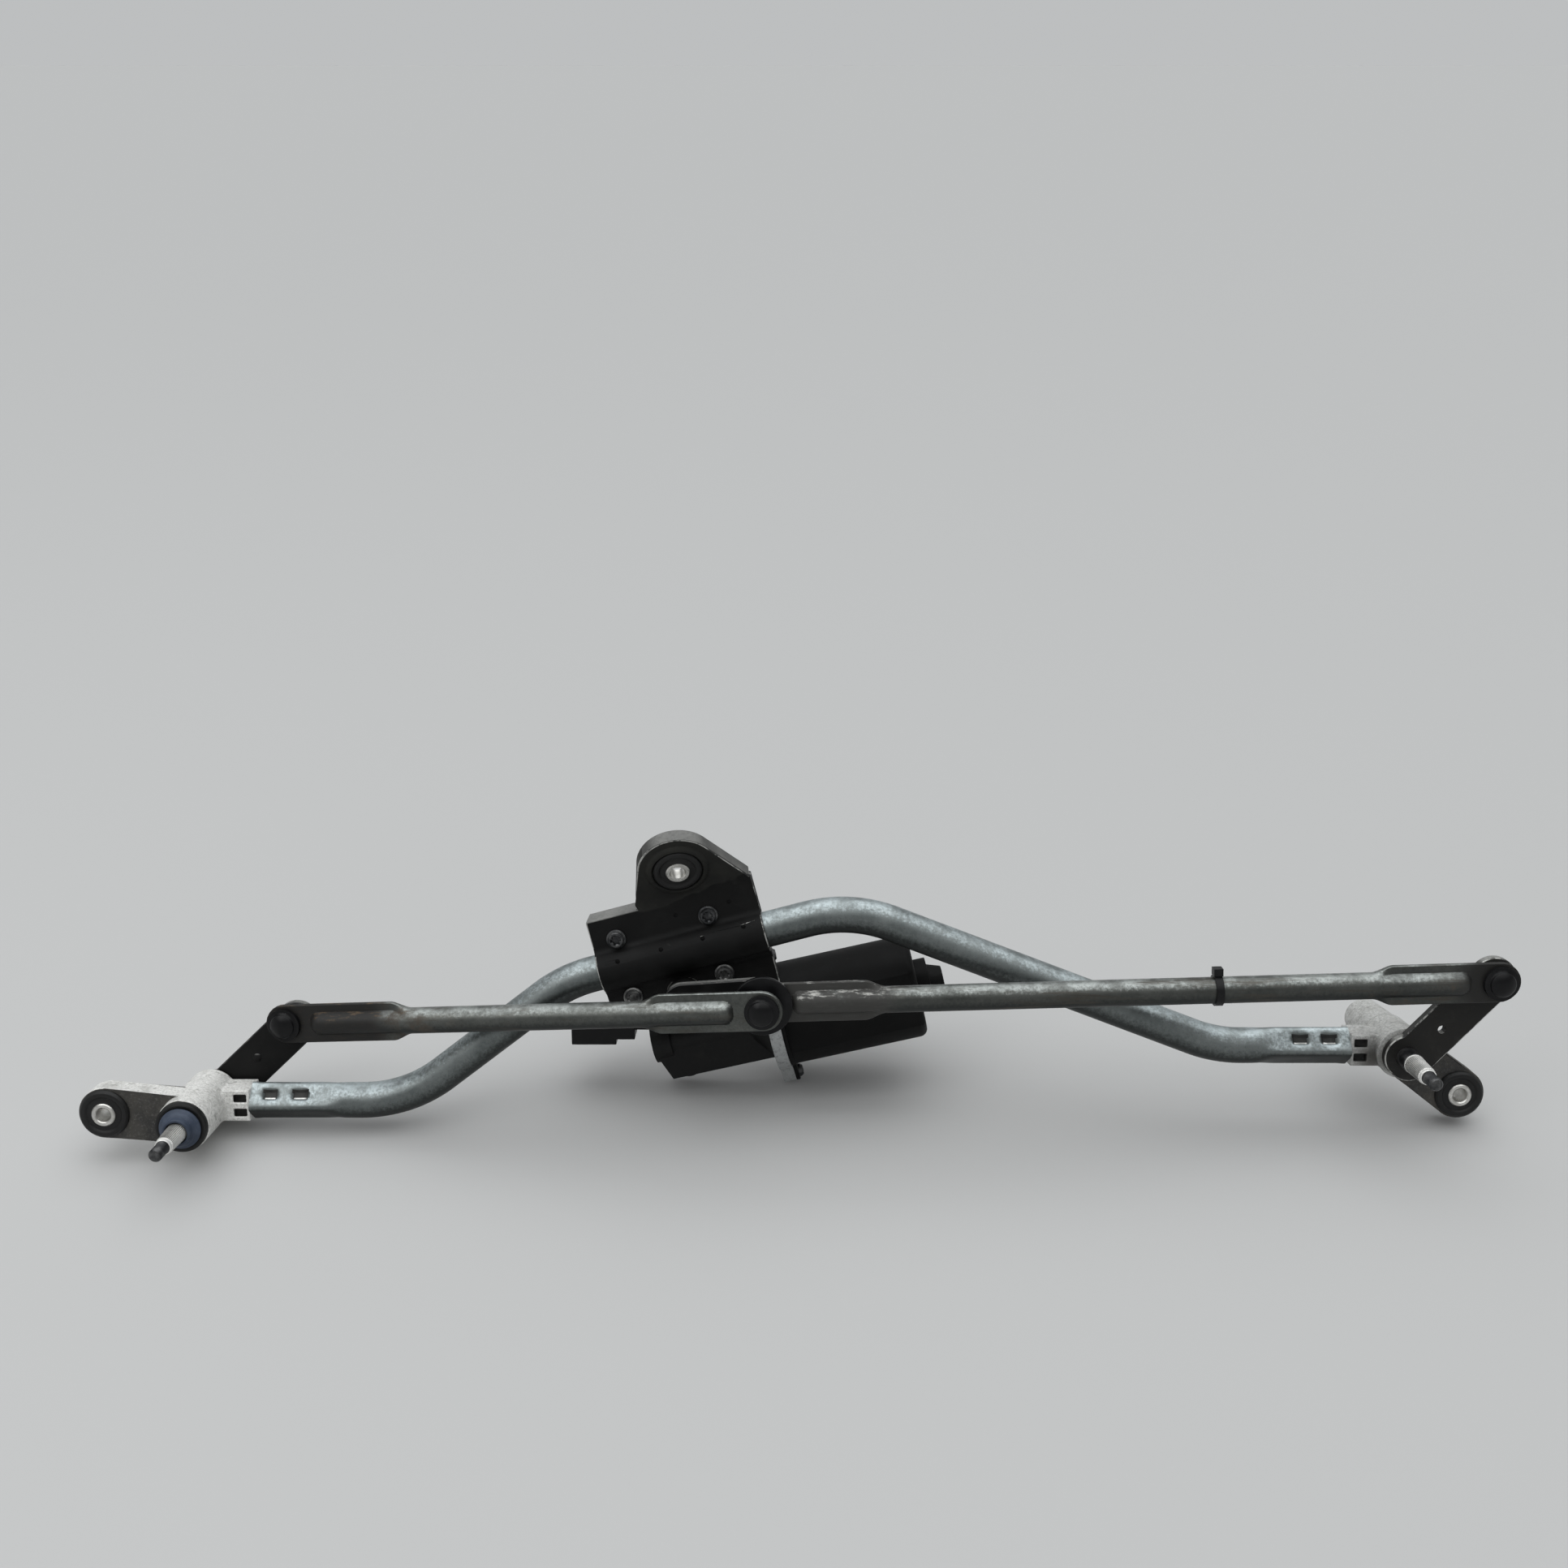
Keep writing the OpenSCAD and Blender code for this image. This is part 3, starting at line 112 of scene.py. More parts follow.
class Finish:
    """One procedural material, with its shader and short ways to add nodes."""

    def __init__(self, name):
        self.material = bpy.data.materials.new(name)
        self.material.use_nodes = True
        self.tree = self.material.node_tree
        self.shader = self.tree.nodes["Principled BSDF"]
        here = self.tree.nodes.new("ShaderNodeTexCoord")
        self.place, self.normal = here.outputs["Object"], here.outputs["Normal"]

    def link(self, value, socket):
        """Joins a node's output to a socket, or sets the socket to a number, a grey or a colour."""
        if isinstance(value, bpy.types.NodeSocket):
            self.tree.links.new(value, socket)
        elif socket.type == "RGBA":
            colour = value if isinstance(value, tuple) else (value,) * 3
            socket.default_value = (*colour, 1)
        else:
            socket.default_value = value

    def add(self, kind, **sockets):
        node = self.tree.nodes.new(kind)
        for key, value in sockets.items():
            self.link(value, node.inputs[key.replace("_", " ")])
        return node

    def stretched(self, scale, turn=(0, 0, 0)):
        node = self.add("ShaderNodeMapping", Vector=self.place, Scale=scale, Rotation=turn)
        return node.outputs["Vector"]

    def noise(self, scale, detail, rough, place=None):
        node = self.add("ShaderNodeTexNoise", Vector=place or self.place, Scale=scale, Detail=detail,
                        Roughness=rough)
        return node.outputs["Fac"]

    def cells(self, scale):
        return self.add("ShaderNodeTexVoronoi", Vector=self.place, Scale=scale).outputs["Distance"]

    def band(self, value, low, high, to_low=0.0, to_high=1.0):
        """A smooth step of a value, from to_low at low to to_high at high."""
        node = self.add("ShaderNodeMapRange", Value=value, From_Min=low, From_Max=high, To_Min=to_low,
                        To_Max=to_high)
        node.interpolation_type = "SMOOTHSTEP"
        return node.outputs["Result"]

    def sums(self, kind, a, b):
        node = self.tree.nodes.new("ShaderNodeMath")
        node.operation = kind
        self.link(a, node.inputs[0])
        self.link(b, node.inputs[1])
        return node.outputs[0]

    def times(self, a, b):
        return self.sums("MULTIPLY", a, b)

    def vectors(self, kind, a, b):
        node = self.tree.nodes.new("ShaderNodeVectorMath")
        node.operation = kind
        self.link(a, node.inputs[0])
        self.link(b, node.inputs[1])
        return node.outputs

    def blend(self, share, a, b):
        """The colour a, or b where share is 1."""
        node = self.tree.nodes.new("ShaderNodeMix")
        node.data_type = "RGBA"
        self.link(share, node.inputs[0])
        self.link(a, node.inputs[6])
        self.link(b, node.inputs[7])
        return node.outputs[2]

    def near(self, point, inner, outer):
        """1 within inner of a point, falling to 0 at outer, in metres."""
        return self.band(self.vectors("DISTANCE", self.place, point)["Value"], inner, outer, 1.0, 0.0)

    def along(self, direction, origin):
        """Distance along a direction from an origin, in metres."""
        step = self.vectors("SUBTRACT", self.place, origin)["Vector"]
        return self.vectors("DOT_PRODUCT", step, direction)["Value"]

    def facing(self, direction):
        """How far the surface faces a direction, from -1 to 1."""
        return self.vectors("DOT_PRODUCT", self.normal, direction)["Value"]

    def done(self, colour, rough, metallic=0.0, height=None, depth=0.0002, strength=0.4, gloss=0.5):
        self.link(colour, self.shader.inputs["Base Color"])
        self.link(gloss, self.shader.inputs["Specular IOR Level"])
        self.link(rough, self.shader.inputs["Roughness"])
        self.link(metallic, self.shader.inputs["Metallic"])
        if height is not None:
            bump = self.add("ShaderNodeBump", Height=height, Strength=strength, Distance=depth)
            self.link(bump.outputs["Normal"], self.shader.inputs["Normal"])
        return self.material


# A dirty place on a rod: its middle and reach, the noise level at which its dirt begins, the dirt's colour,
# its flecks' colour and noise level, and the share of flecks that is left on the sides
Grime = namedtuple("Grime", "centre inner outer dirt_from dirt fleck fleck_from fleck_side")
# A sooty place on a casting: its middle and reach, and whether only the front is darkened, which is painted
# shade in soot's colour
SootAndShade = namedtuple("SootAndShade", "centre inner outer front_only")


def zinc_plate(name, level, highlight_level, streaks=0.0, grime=(), warm=1.0):
    """Zinc plated steel: mottled grey with a painted highlight on the top, painted shade below, dirty
    streaks and grime.

    level is the brightness of the plate, and the third argument the brightness of the painted highlight on
    its top.
    """
    def zinc(red, green, blue, bright=level):
        return red * bright * warm, green * bright, blue * bright / warm

    f = Finish(name)
    cloud = f.noise(34, 5, 0.6)
    speckle = f.noise(800, 4, 0.75)
    spangle = f.cells(240)
    up = f.sums("ADD", f.facing(UP), f.band(f.noise(500, 4, 0.7), 0.25, 0.75, -0.15, 0.15))
    tone = f.blend(f.band(cloud, 0.35, 0.68), zinc(0.25, 0.28, 0.277), zinc(0.36, 0.395, 0.39))
    tone = f.blend(f.band(spangle, 0.1, 0.7, 0.0, 0.16), tone, zinc(0.5, 0.535, 0.525))
    tone = f.blend(f.band(speckle, 0.55, 0.72, 0.0, 0.5), tone, zinc(0.1, 0.107, 0.104))
    # Painted highlight: upward faces lighter in patches, with a blue tint of the sky
    highlight_patches = f.band(f.noise(70, 5, 0.65), 0.36, 0.6, 0.3, 1.0)
    tone = f.blend(f.times(f.band(up, 0.6, 1.05, 0.0, 0.75), highlight_patches), tone, zinc(0.89, 1, 1.03, highlight_level))
    # Painted shade: faces turned down are darker
    tone = f.blend(f.band(up, -0.4, 0.52, 0.95, 0.0), tone, (0.036, 0.039, 0.038))
    if streaks:
        run = f.noise(150, 5, 0.7, f.stretched((0.09, 1, 1)))
        tone = f.blend(f.band(run, 0.52, 0.66, 0.0, streaks), tone, (0.075, 0.068, 0.058))
    rough = f.band(cloud, 0.3, 0.7, 0.38, 0.52)
    metal = 0.9
    for g in grime:
        patch = f.times(f.near(g.centre, g.inner, g.outer),
                        f.band(f.noise(75, 6, 0.7), g.dirt_from, g.dirt_from + 0.22))
        tone = f.blend(patch, tone, g.dirt)
        scrape = f.noise(420, 6, 0.7, f.stretched((0.22, 1, 1)))
        flecks = f.times(f.band(scrape, g.fleck_from, g.fleck_from + 0.14),
                         f.near(g.centre, g.inner, g.outer * 1.1))
        flecks = f.times(flecks, f.band(up, 0.6, 0.9, g.fleck_side, 1.0))
        tone = f.blend(flecks, tone, g.fleck)
        rough = f.blend(patch, rough, 0.55)
        metal = f.blend(patch, metal, 0.2)
    height = f.sums("ADD", f.times(speckle, 0.6), cloud)
    return f.done(tone, rough, metal, height, 0.0002, 0.25)


def die_cast(name, light=(0.9, 0.895, 0.87), dark=(0.48, 0.475, 0.45), soot_and_shade=()):
    """Bare die-cast alloy: fine pale and dark grain with pits, and soot at the given places, which is
    painted shade where only front faces are darkened.
    """
    f = Finish(name)
    cloud = f.noise(55, 5, 0.6)
    grain = f.noise(620, 6, 0.8)
    pits = f.cells(1100)
    tone = f.blend(f.band(grain, 0.28, 0.68), dark, light)
    tone = f.blend(f.band(cloud, 0.48, 0.72, 0.0, 0.55), tone, (0.3, 0.296, 0.275))
    tone = f.blend(f.band(f.noise(140, 5, 0.7), 0.56, 0.68, 0.0, 0.6), tone, (0.2, 0.196, 0.18))
    tone = f.blend(f.band(pits, 0.02, 0.14, 0.5, 0.0), tone, (0.12, 0.118, 0.108))
    metal = 0.18
    for s in soot_and_shade:
        patch = f.times(f.near(s.centre, s.inner, s.outer), f.band(grain, 0.25, 0.5, 0.82, 1.0))
        # Only front faces: painted shade, in soot's colour
        if s.front_only:
            patch = f.times(patch, f.band(f.facing(SPINDLE_WAY), 0.7, 0.85))
        black = f.blend(f.band(cloud, 0.35, 0.65), (0.021, 0.02, 0.0185), (0.055, 0.051, 0.044))
        tone = f.blend(patch, tone, black)
        metal = f.blend(patch, metal, 0.1)
    height = f.sums("ADD", grain, f.band(pits, 0.0, 0.3))
    return f.done(tone, f.band(cloud, 0.3, 0.7, 0.46, 0.64), metal, height, 0.0004, 0.5)


def gear_cast(name):
    """Gear housing: blackened casting with a bare aluminium strip at the motor flange."""
    f = Finish(name)
    cloud = f.noise(60, 5, 0.65)
    grain = f.noise(420, 5, 0.75)
    tone = f.blend(f.band(cloud, 0.4, 0.72), 0.0045, (0.014, 0.014, 0.013))
    reach = f.along(row_way(*MOTOR.to_3x3().col[2]), LINKAGE @ MOTOR.translation)
    strip = f.times(f.band(reach, 0.0425, 0.0432), f.band(grain, 0.3, 0.55, 0.5, 1.0))
    tone = f.blend(strip, tone, (0.42, 0.43, 0.43))
    rough = f.band(cloud, 0.3, 0.7, 0.42, 0.6)
    return f.done(tone, rough, f.times(strip, 0.6), grain, 0.0004, 0.45, 0.22)


def black_coat(name, base=0.004, dust=(0.013, 0.013, 0.0125), amount=0.5, rough=(0.5, 0.68), settled=0.3,
               gloss=0.25, light_and_dust_film=None):
    """Black electro-coat with scuffs, a slight orange peel and dust settled on upward faces.

    The last argument is a direction, an origin past which a lighter film begins, and the film's colour:
    painted light, mixed with dust.
    """
    f = Finish(name)
    cloud = f.noise(42, 6, 0.65)
    grit = f.noise(520, 4, 0.7)
    scuff = f.noise(90, 5, 0.7, f.stretched((1, 1, 6), (0.4, 0.3, 0.9)))
    tone = f.blend(f.band(cloud, 0.42, 0.75, 0.0, amount), base, dust)
    # Lighter film past a line: painted light, mixed with dust
    if light_and_dust_film:
        way, origin, colour = light_and_dust_film
        reach = f.sums("ADD", f.along(way, origin), f.band(f.noise(24, 3, 0.5), 0.3, 0.7, -0.006, 0.006))
        light_and_dust_tone = f.blend(f.band(cloud, 0.3, 0.7), colour, dust)
        tone = f.blend(f.band(reach, -0.0008, 0.0008), tone, light_and_dust_tone)
    tone = f.blend(f.band(grit, 0.62, 0.76, 0.0, 0.3 * amount), tone, (0.06, 0.058, 0.053))
    tone = f.blend(f.band(scuff, 0.67, 0.73, 0.0, 0.4 * amount), tone, (0.1, 0.1, 0.094))
    upward = f.times(f.band(f.facing(UP), 0.6, 0.88, 0.0, settled), f.band(grit, 0.3, 0.6, 0.6, 1.0))
    tone = f.blend(upward, tone, (0.46, 0.46, 0.44))
    height = f.sums("ADD", grit, cloud)
    return f.done(tone, f.band(cloud, 0.3, 0.7, *rough), 0.0, height, 0.00015, 0.3, gloss)


def worn_edge(name, bare, low):
    """Coated edge, worn through to bare steel where its noise is over low."""
    f = Finish(name)
    wear = f.noise(110, 6, 0.7)
    tone = f.blend(f.band(wear, low, low + 0.14), (0.01, 0.01, 0.0095), bare)
    metal = f.band(wear, low, low + 0.14, 0.0, 0.7)
    return f.done(tone, f.band(wear, 0.4, 0.6, 0.42, 0.32), metal, wear, 0.0002, 0.3)


def soft_rubber(name):
    f = Finish(name)
    cloud = f.noise(60, 5, 0.6)
    grit = f.noise(700, 3, 0.7)
    tone = f.blend(f.band(cloud, 0.4, 0.75, 0.0, 0.6), 0.0045, (0.016, 0.016, 0.0155))
    tone = f.blend(f.band(grit, 0.6, 0.75, 0.0, 0.25), tone, (0.06, 0.058, 0.054))
    return f.done(tone, f.band(cloud, 0.3, 0.7, 0.42, 0.62), 0.0, grit, 0.0002, 0.3, 0.35)


def moulded_plastic(name, base=(0.0045, 0.0045, 0.005), pale=(0.014, 0.014, 0.015), rough=(0.28, 0.44)):
    f = Finish(name)
    cloud = f.noise(80, 5, 0.6)
    grit = f.noise(800, 3, 0.6)
    tone = f.blend(f.band(cloud, 0.45, 0.8, 0.0, 0.7), base, pale)
    return f.done(tone, f.band(cloud, 0.3, 0.7, *rough), 0.0, grit, 0.0001, 0.2, 0.2)


def bright_steel(name, tone_a=(0.62, 0.62, 0.6), tone_b=(0.4, 0.4, 0.385), metal=0.95):
    f = Finish(name)
    cloud = f.noise(120, 5, 0.6)
    grain = f.noise(900, 3, 0.7)
    tone = f.blend(f.band(cloud, 0.35, 0.65), tone_a, tone_b)
    tone = f.blend(f.band(grain, 0.58, 0.74, 0.0, 0.5), tone, (0.14, 0.13, 0.12))
    return f.done(tone, f.band(cloud, 0.3, 0.7, 0.24, 0.4), metal, grain, 0.0001, 0.2)


def dark_steel(name, tone_a=(0.03, 0.031, 0.033), tone_b=0.13):
    f = Finish(name)
    cloud = f.noise(150, 5, 0.6)
    tone = f.blend(f.band(cloud, 0.4, 0.7), tone_a, tone_b)
    return f.done(tone, f.band(cloud, 0.3, 0.7, 0.3, 0.46), 0.8, cloud, 0.0001, 0.2)


def plain_inner(name, tone_a, tone_b, metallic, rough):
    """Finish of the pieces inside the motor, and painted shade for recesses."""
    f = Finish(name)
    cloud = f.noise(160, 4, 0.6)
    tone = f.blend(f.band(cloud, 0.35, 0.65), tone_a, tone_b)
    return f.done(tone, f.band(cloud, 0.3, 0.7, rough, rough + 0.15), metallic)


# Finishes of this linkage
GREASE = (0.009, 0.0083, 0.0072)
RUST = (0.085, 0.055, 0.03)
BROWN_DIRT = (0.06, 0.045, 0.032)
GREY_DIRT = (0.036, 0.035, 0.032)
PALE_FLECK = (0.46, 0.455, 0.43)
LEFT_ROD_END = spot(LEFT_BALL.x, LEFT_BALL.y, LEFT_BALL_Z)
RIGHT_ROD_END = spot(RIGHT_BALL.x, RIGHT_BALL.y, RIGHT_BALL_Z)
RIGHT_ROD_START = spot(CRANK_PIN.x + 32, CRANK_PIN.y + 2, 29)
# Third arguments: brightness of the painted highlight on the tops
ZINC_TUBE = zinc_plate("zinc tube", 0.57, 0.68)
ZINC_LEFT_ROD = zinc_plate("zinc left rod", 0.34, 0.5, 0.5, warm=1.06, grime=[
    Grime(LEFT_ROD_END, 0.07, 0.13, 0.42, BROWN_DIRT, RUST, 0.58, 0.4),
    Grime(LEFT_ROD_END, 0.056, 0.08, 0.14, GREASE, RUST, 0.5, 0.1)])
ZINC_RIGHT_ROD = zinc_plate("zinc right rod", 0.25, 0.52, 0.8, warm=1.06, grime=[
    Grime(RIGHT_ROD_END, 0.05, 0.1, 0.56, RUST, RUST, 0.62, 0.3),
    Grime(RIGHT_ROD_END, 0.016, 0.034, 0.12, GREASE, RUST, 0.62, 0.5),
    Grime(RIGHT_ROD_START, 0.04, 0.052, 0.26, GREY_DIRT, PALE_FLECK, 0.5, 0.02)])
# The left lug's front face is darkened: painted shade, with soot
CAST_LEFT = die_cast("cast alloy left", soot_and_shade=[
    SootAndShade(spot(LEFT_BUSH.x + 16, LEFT_BUSH.y + 2, 32), 0.034, 0.037, True)])
CAST_RIGHT = die_cast("cast alloy right", (0.66, 0.66, 0.64), (0.28, 0.28, 0.27), [
    SootAndShade(spot(RIGHT_BUSH.x - 8, RIGHT_BUSH.y + 6, -4), 0.034, 0.046, False),
    SootAndShade(spot(RIGHT_SPINDLE.x - 17, RIGHT_SPINDLE.y - 4, 6), 0.002, 0.02, False)])
CAST_GEAR = gear_cast("blackened gear casting")
# The tab above its bend is lighter: painted light, mixed with dust
COAT = black_coat("black coat bracket", settled=0.0, gloss=0.15,
                  light_and_dust_film=(PLATE_WAY, LINKAGE @ TAB.translation, (0.021, 0.021, 0.018)))
COAT_LEVER = black_coat("black coat lever", 0.004, (0.012, 0.012, 0.0115), 0.6, (0.45, 0.62), 0.4, 0.18)
COAT_RIGHT_LEVER = black_coat("black coat right lever", (0.011, 0.0105, 0.0095), (0.032, 0.031, 0.028), 0.9,
                              (0.45, 0.62), 0.6)
COAT_CAN = black_coat("black coat can", 0.0035, (0.01, 0.01, 0.0097), 0.6, (0.5, 0.66), 0.0, 0.12)
DUSTY_EDGE = black_coat("dusty sheet edge", (0.055, 0.055, 0.053), (0.15, 0.15, 0.142), 0.9,
                        (0.5, 0.65), 0.3)
# Pale bracket edges: wear, and painted highlight along the rims
WEAR_AND_HIGHLIGHT = worn_edge("worn edge", (0.42, 0.42, 0.4), 0.4)
WORN_RIM = worn_edge("worn rim", (0.4, 0.4, 0.38), 0.4)
WORN_DARK = worn_edge("dark worn rim", (0.12, 0.115, 0.11), 0.5)
RUBBER = soft_rubber("bush rubber")
PLASTIC = moulded_plastic("black plastic")
STEEL = bright_steel("bright steel")
SLEEVE = bright_steel("sleeve steel", (0.66, 0.65, 0.62), (0.5, 0.49, 0.46))
KNURL = bright_steel("knurled steel", (0.88, 0.87, 0.84), (0.72, 0.72, 0.7), 0.35)
# Knurl grooves darker than the ridges: painted shade
GROOVE_SHADE = bright_steel("knurl groove", (0.34, 0.335, 0.32), (0.2, 0.2, 0.19), 0.4)
DARK = dark_steel("dark steel")
# Painted shade for the crimp windows and the housing pockets
PAINTED_SHADE = plain_inner("shaded recess", (0.016, 0.016, 0.015), (0.045, 0.044, 0.041), 0.1, 0.6)
SCREW = dark_steel("plated screw", 0.09, (0.3, 0.3, 0.29))
CAP_BLUE = moulded_plastic("blue grey cap", (0.042, 0.054, 0.08), (0.088, 0.108, 0.15), (0.34, 0.5))
BRONZE = plain_inner("sintered bronze", (0.5, 0.34, 0.2), (0.38, 0.27, 0.17), 0.9, 0.4)
COPPER = plain_inner("copper wire", (0.6, 0.3, 0.17), (0.45, 0.22, 0.13), 0.9, 0.35)
FERRITE = plain_inner("ferrite", (0.03, 0.03, 0.032), 0.06, 0.2, 0.6)
IVORY = plain_inner("ivory gear plastic", (0.7, 0.66, 0.55), (0.6, 0.56, 0.46), 0.0, 0.45)
BROWN = plain_inner("brown laminate", (0.22, 0.12, 0.06), (0.16, 0.09, 0.05), 0.0, 0.5)

CAD_FINISH = {
    "frame_tube": ZINC_TUBE, "left_rod": ZINC_LEFT_ROD, "right_rod": ZINC_RIGHT_ROD,
    "left_housing": CAST_LEFT, "right_housing": CAST_RIGHT, "gear_housing": CAST_GEAR,
    "left_bush_rubber": RUBBER, "right_bush_rubber": RUBBER, "centre_bush_rubber": RUBBER,
    "left_seal": RUBBER,
    "left_bush_sleeve": SLEEVE, "right_bush_sleeve": SLEEVE, "centre_bush_sleeve": SLEEVE,
    "output_shaft": STEEL, "crank_nut": STEEL, "crank_ball_stud": STEEL, "armature_shaft": STEEL,
    "left_spindle": STEEL, "right_spindle": STEEL, "left_ball_stud": STEEL, "right_ball_stud": STEEL,
    "mount_bracket": COAT, "motor_can": COAT_CAN, "crank_arm": COAT_LEVER,
    "left_lever": COAT_LEVER, "right_lever": COAT_RIGHT_LEVER,
    "motor_screws": SCREW, "cover_screws": DARK, "can_screws": DARK, "armature_core": DARK,
    "left_clip": DARK, "right_clip": DARK, "left_rivet": DARK, "right_rivet": DARK,
    "field_magnets": FERRITE, "carbon_brushes": FERRITE,
    "gear_cover": PLASTIC, "connector_socket": PLASTIC, "left_rod_lever_socket": PLASTIC,
    "left_rod_crank_socket": PLASTIC, "right_rod_lever_socket": PLASTIC, "right_rod_crank_socket": PLASTIC,
    "cable_tie": PLASTIC, "brush_holder": BROWN, "rear_bearing": BRONZE, "worm_bearing": BRONZE,
    "output_bush": BRONZE, "left_spindle_bushes": BRONZE, "right_spindle_bushes": BRONZE,
    "left_dust_cap": CAP_BLUE, "worm_wheel": IVORY, "armature_windings": COPPER, "commutator": COPPER,
}
for node, finish in CAD_FINISH.items():
    mesh = frame["nodes"][node].data
    mesh.materials.clear()
    mesh.materials.append(finish)


# Piece building helpers, drawn in linkage millimetres

WELD = 0.001


def piece(name, bm, body, finishes, nodes=(), crease=38, place=LINKAGE):
    """A finished mesh piece that rides on a body and may stand for CAD nodes."""
    bmesh.ops.transform(bm, matrix=place, verts=bm.verts)
    bmesh.ops.recalc_face_normals(bm, faces=bm.faces)
    mesh = bpy.data.meshes.new(name)
    bm.to_mesh(mesh)
    bm.free()
    for finish in finishes:
        mesh.materials.append(finish)
    mesh.shade_smooth()
    mesh.set_sharp_from_angle(angle=radians(crease))
    obj = bpy.data.objects.new(name, mesh)
    bpy.context.scene.collection.objects.link(obj)
    weighted = obj.modifiers.new("weighted", "WEIGHTED_NORMAL")
    weighted.keep_sharp = True
    weighted.weight = 80
    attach(obj, body)
    if nodes:
        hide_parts(*nodes)
    return obj


def ramp(value, low, high):
    """0 under low, 1 over high, smooth between."""
    t = min(max((value - low) / (high - low), 0), 1)
    return t * t * (3 - 2 * t)


def skin(rings):
    """A skin through rings of equally many points, closed round each ring."""
    bm = bmesh.new()
    across, along = len(rings[0]), len(rings) - 1
    bmesh.ops.create_grid(bm, x_segments=across, y_segments=along, size=0.5)
    for v in bm.verts:
        i = round((v.co.x + 0.5) * across) % across
        j = round((v.co.y + 0.5) * along)
        v.co = rings[j][i]
    bmesh.ops.remove_doubles(bm, verts=bm.verts, dist=WELD)
    return bm


def turned(profile, steps, place=None, closed=False):
    """A body of revolution about z from (radius, z) points, moved to its place."""
    bm = bmesh.new()
    verts = [bm.verts.new((r, 0, z)) for r, z in profile]
    edges = [bm.edges.new(pair) for pair in zip(verts, verts[1:])]
    if closed:
        edges.append(bm.edges.new((verts[-1], verts[0])))
    bmesh.ops.spin(bm, geom=verts + edges, cent=(0, 0, 0), axis=(0, 0, 1), angle=2 * pi, steps=steps,
                   use_merge=True)
    bmesh.ops.remove_doubles(bm, verts=bm.verts, dist=WELD)
    if place is not None:
        bmesh.ops.transform(bm, matrix=place, verts=bm.verts)
    return bm


def knurl(bm, low, high, steps, depth):
    """Sinks every second line of a turned body between two heights."""
    for v in bm.verts:
        if low < v.co.z < high and round(atan2(v.co.y, v.co.x) / (2 * pi / steps)) % 2:
            r = hypot(v.co.x, v.co.y)
            v.co.x *= 1 - depth / r
            v.co.y *= 1 - depth / r


def paint_above(bm, z, index):
    """Gives the faces over a height another finish."""
    for face in bm.faces:
        if face.calc_center_median().z > z:
            face.material_index = index


# CAD meshes are in metres and of loose triangles: how they are merged, and which edges count as sharp
CAD_WELD = 2e-6
FLAT_ANGLE = radians(0.6)
SHARP_ANGLE = radians(32)
SHORT_EDGE = 8e-4
SOFT_STEPS, WIDE_STEPS = 2, 5
SOFT_CREASE = 34


def softened(node, width, edge_finish=None, wide=None, wide_width=0.0, other=None, other_finish=None,
             reshape=None):
    """A CAD node's copy with its sharp edges rounded, wider where wide(place) is true.

    Faces for which other(place, normal) is true get another finish, and reshape(place) moves points first.
    """
    bm = bmesh.new()
    bm.from_mesh(frame["nodes"][node].data)
    bmesh.ops.remove_doubles(bm, verts=bm.verts, dist=CAD_WELD)
    bmesh.ops.dissolve_limit(bm, angle_limit=FLAT_ANGLE, verts=bm.verts, edges=bm.edges)
    bmesh.ops.connect_verts_concave(bm, faces=bm.faces)
    home = LINKAGE.inverted()
    if reshape:
        for v in bm.verts:
            v.co = LINKAGE @ reshape(home @ v.co)

    def sharp(rule):
        return [e for e in bm.edges
                if e.is_manifold and e.calc_face_angle() > SHARP_ANGLE and e.calc_length() > SHORT_EDGE
                and rule(home @ ((e.verts[0].co + e.verts[1].co) / 2))]

    def rounded(edges, size, steps, worn):
        made = bmesh.ops.bevel(bm, geom=edges, offset=size / 1000, offset_type="OFFSET", segments=steps,
                               profile=0.5, affect="EDGES", material=-1, clamp_overlap=False)
        if worn:
            for face in made["faces"]:
                face.material_index = 1

    for face in bm.faces:
        face.material_index = 0
    if wide:
        rounded(sharp(wide), wide_width, WIDE_STEPS, None)
    rounded(sharp(lambda p: not (wide and wide(p))), width, SOFT_STEPS, edge_finish)
    finishes = [CAD_FINISH[node], edge_finish or CAD_FINISH[node]]
    if other:
        finishes.append(other_finish)
        bm.normal_update()
        for face in bm.faces:
            if other(home @ face.calc_center_median(), face.normal):
                face.material_index = 2
    return piece("soft_" + node, bm, BODY_OF[node], finishes, [node], SOFT_CREASE, Matrix())


# Bent frame tube with squared, windowed ends
TUBE_R, TUBE_WALL, BEND_R = 11, 2, 84
TUBE_START, TUBE_STOP = -270, 409
LEFT_RISE, RIGHT_FALL = 37.6, -21.2
LEFT_BEND_X, RIGHT_BEND_X = -174, 328
END_STEP, TUBE_STEP, BEND_STEP = 1.5, 6, 2
TUBE_POINTS = 64
SQUARE_HALF, SQUARE_FROM, SQUARE_TO = 9.5, 44, 60
FLARE, BORE_SHOWN = 0.35, 6
WINDOW_TURN = radians(40)
WINDOW_STEPS = (12, 30)
WINDOW_HALF_L, WINDOW_HALF_W = 5.2, 3.4
WINDOW_RIM, WINDOW_DEPTH = 0.9, 1.6
DENT_DEPTH, DENT_FLAT, DENT_REACH = 1.2, 2.4, 6.2
# Round a window: below the first height its floor gets a painted highlight, above the second its rim gets
# painted shade
HIGHLIGHT_BELOW, SHADE_ABOVE = -1.3, 2.2


def meeting(p, pa, q, qa):
    """Where two lines cross, each with a point and a slope in degrees."""
    pa, qa = radians(pa), radians(qa)
    d = q - p
    t = (d.x * sin(qa) - d.y * cos(qa)) / sin(qa - pa)
    return p + t * Vector((cos(pa), sin(pa)))


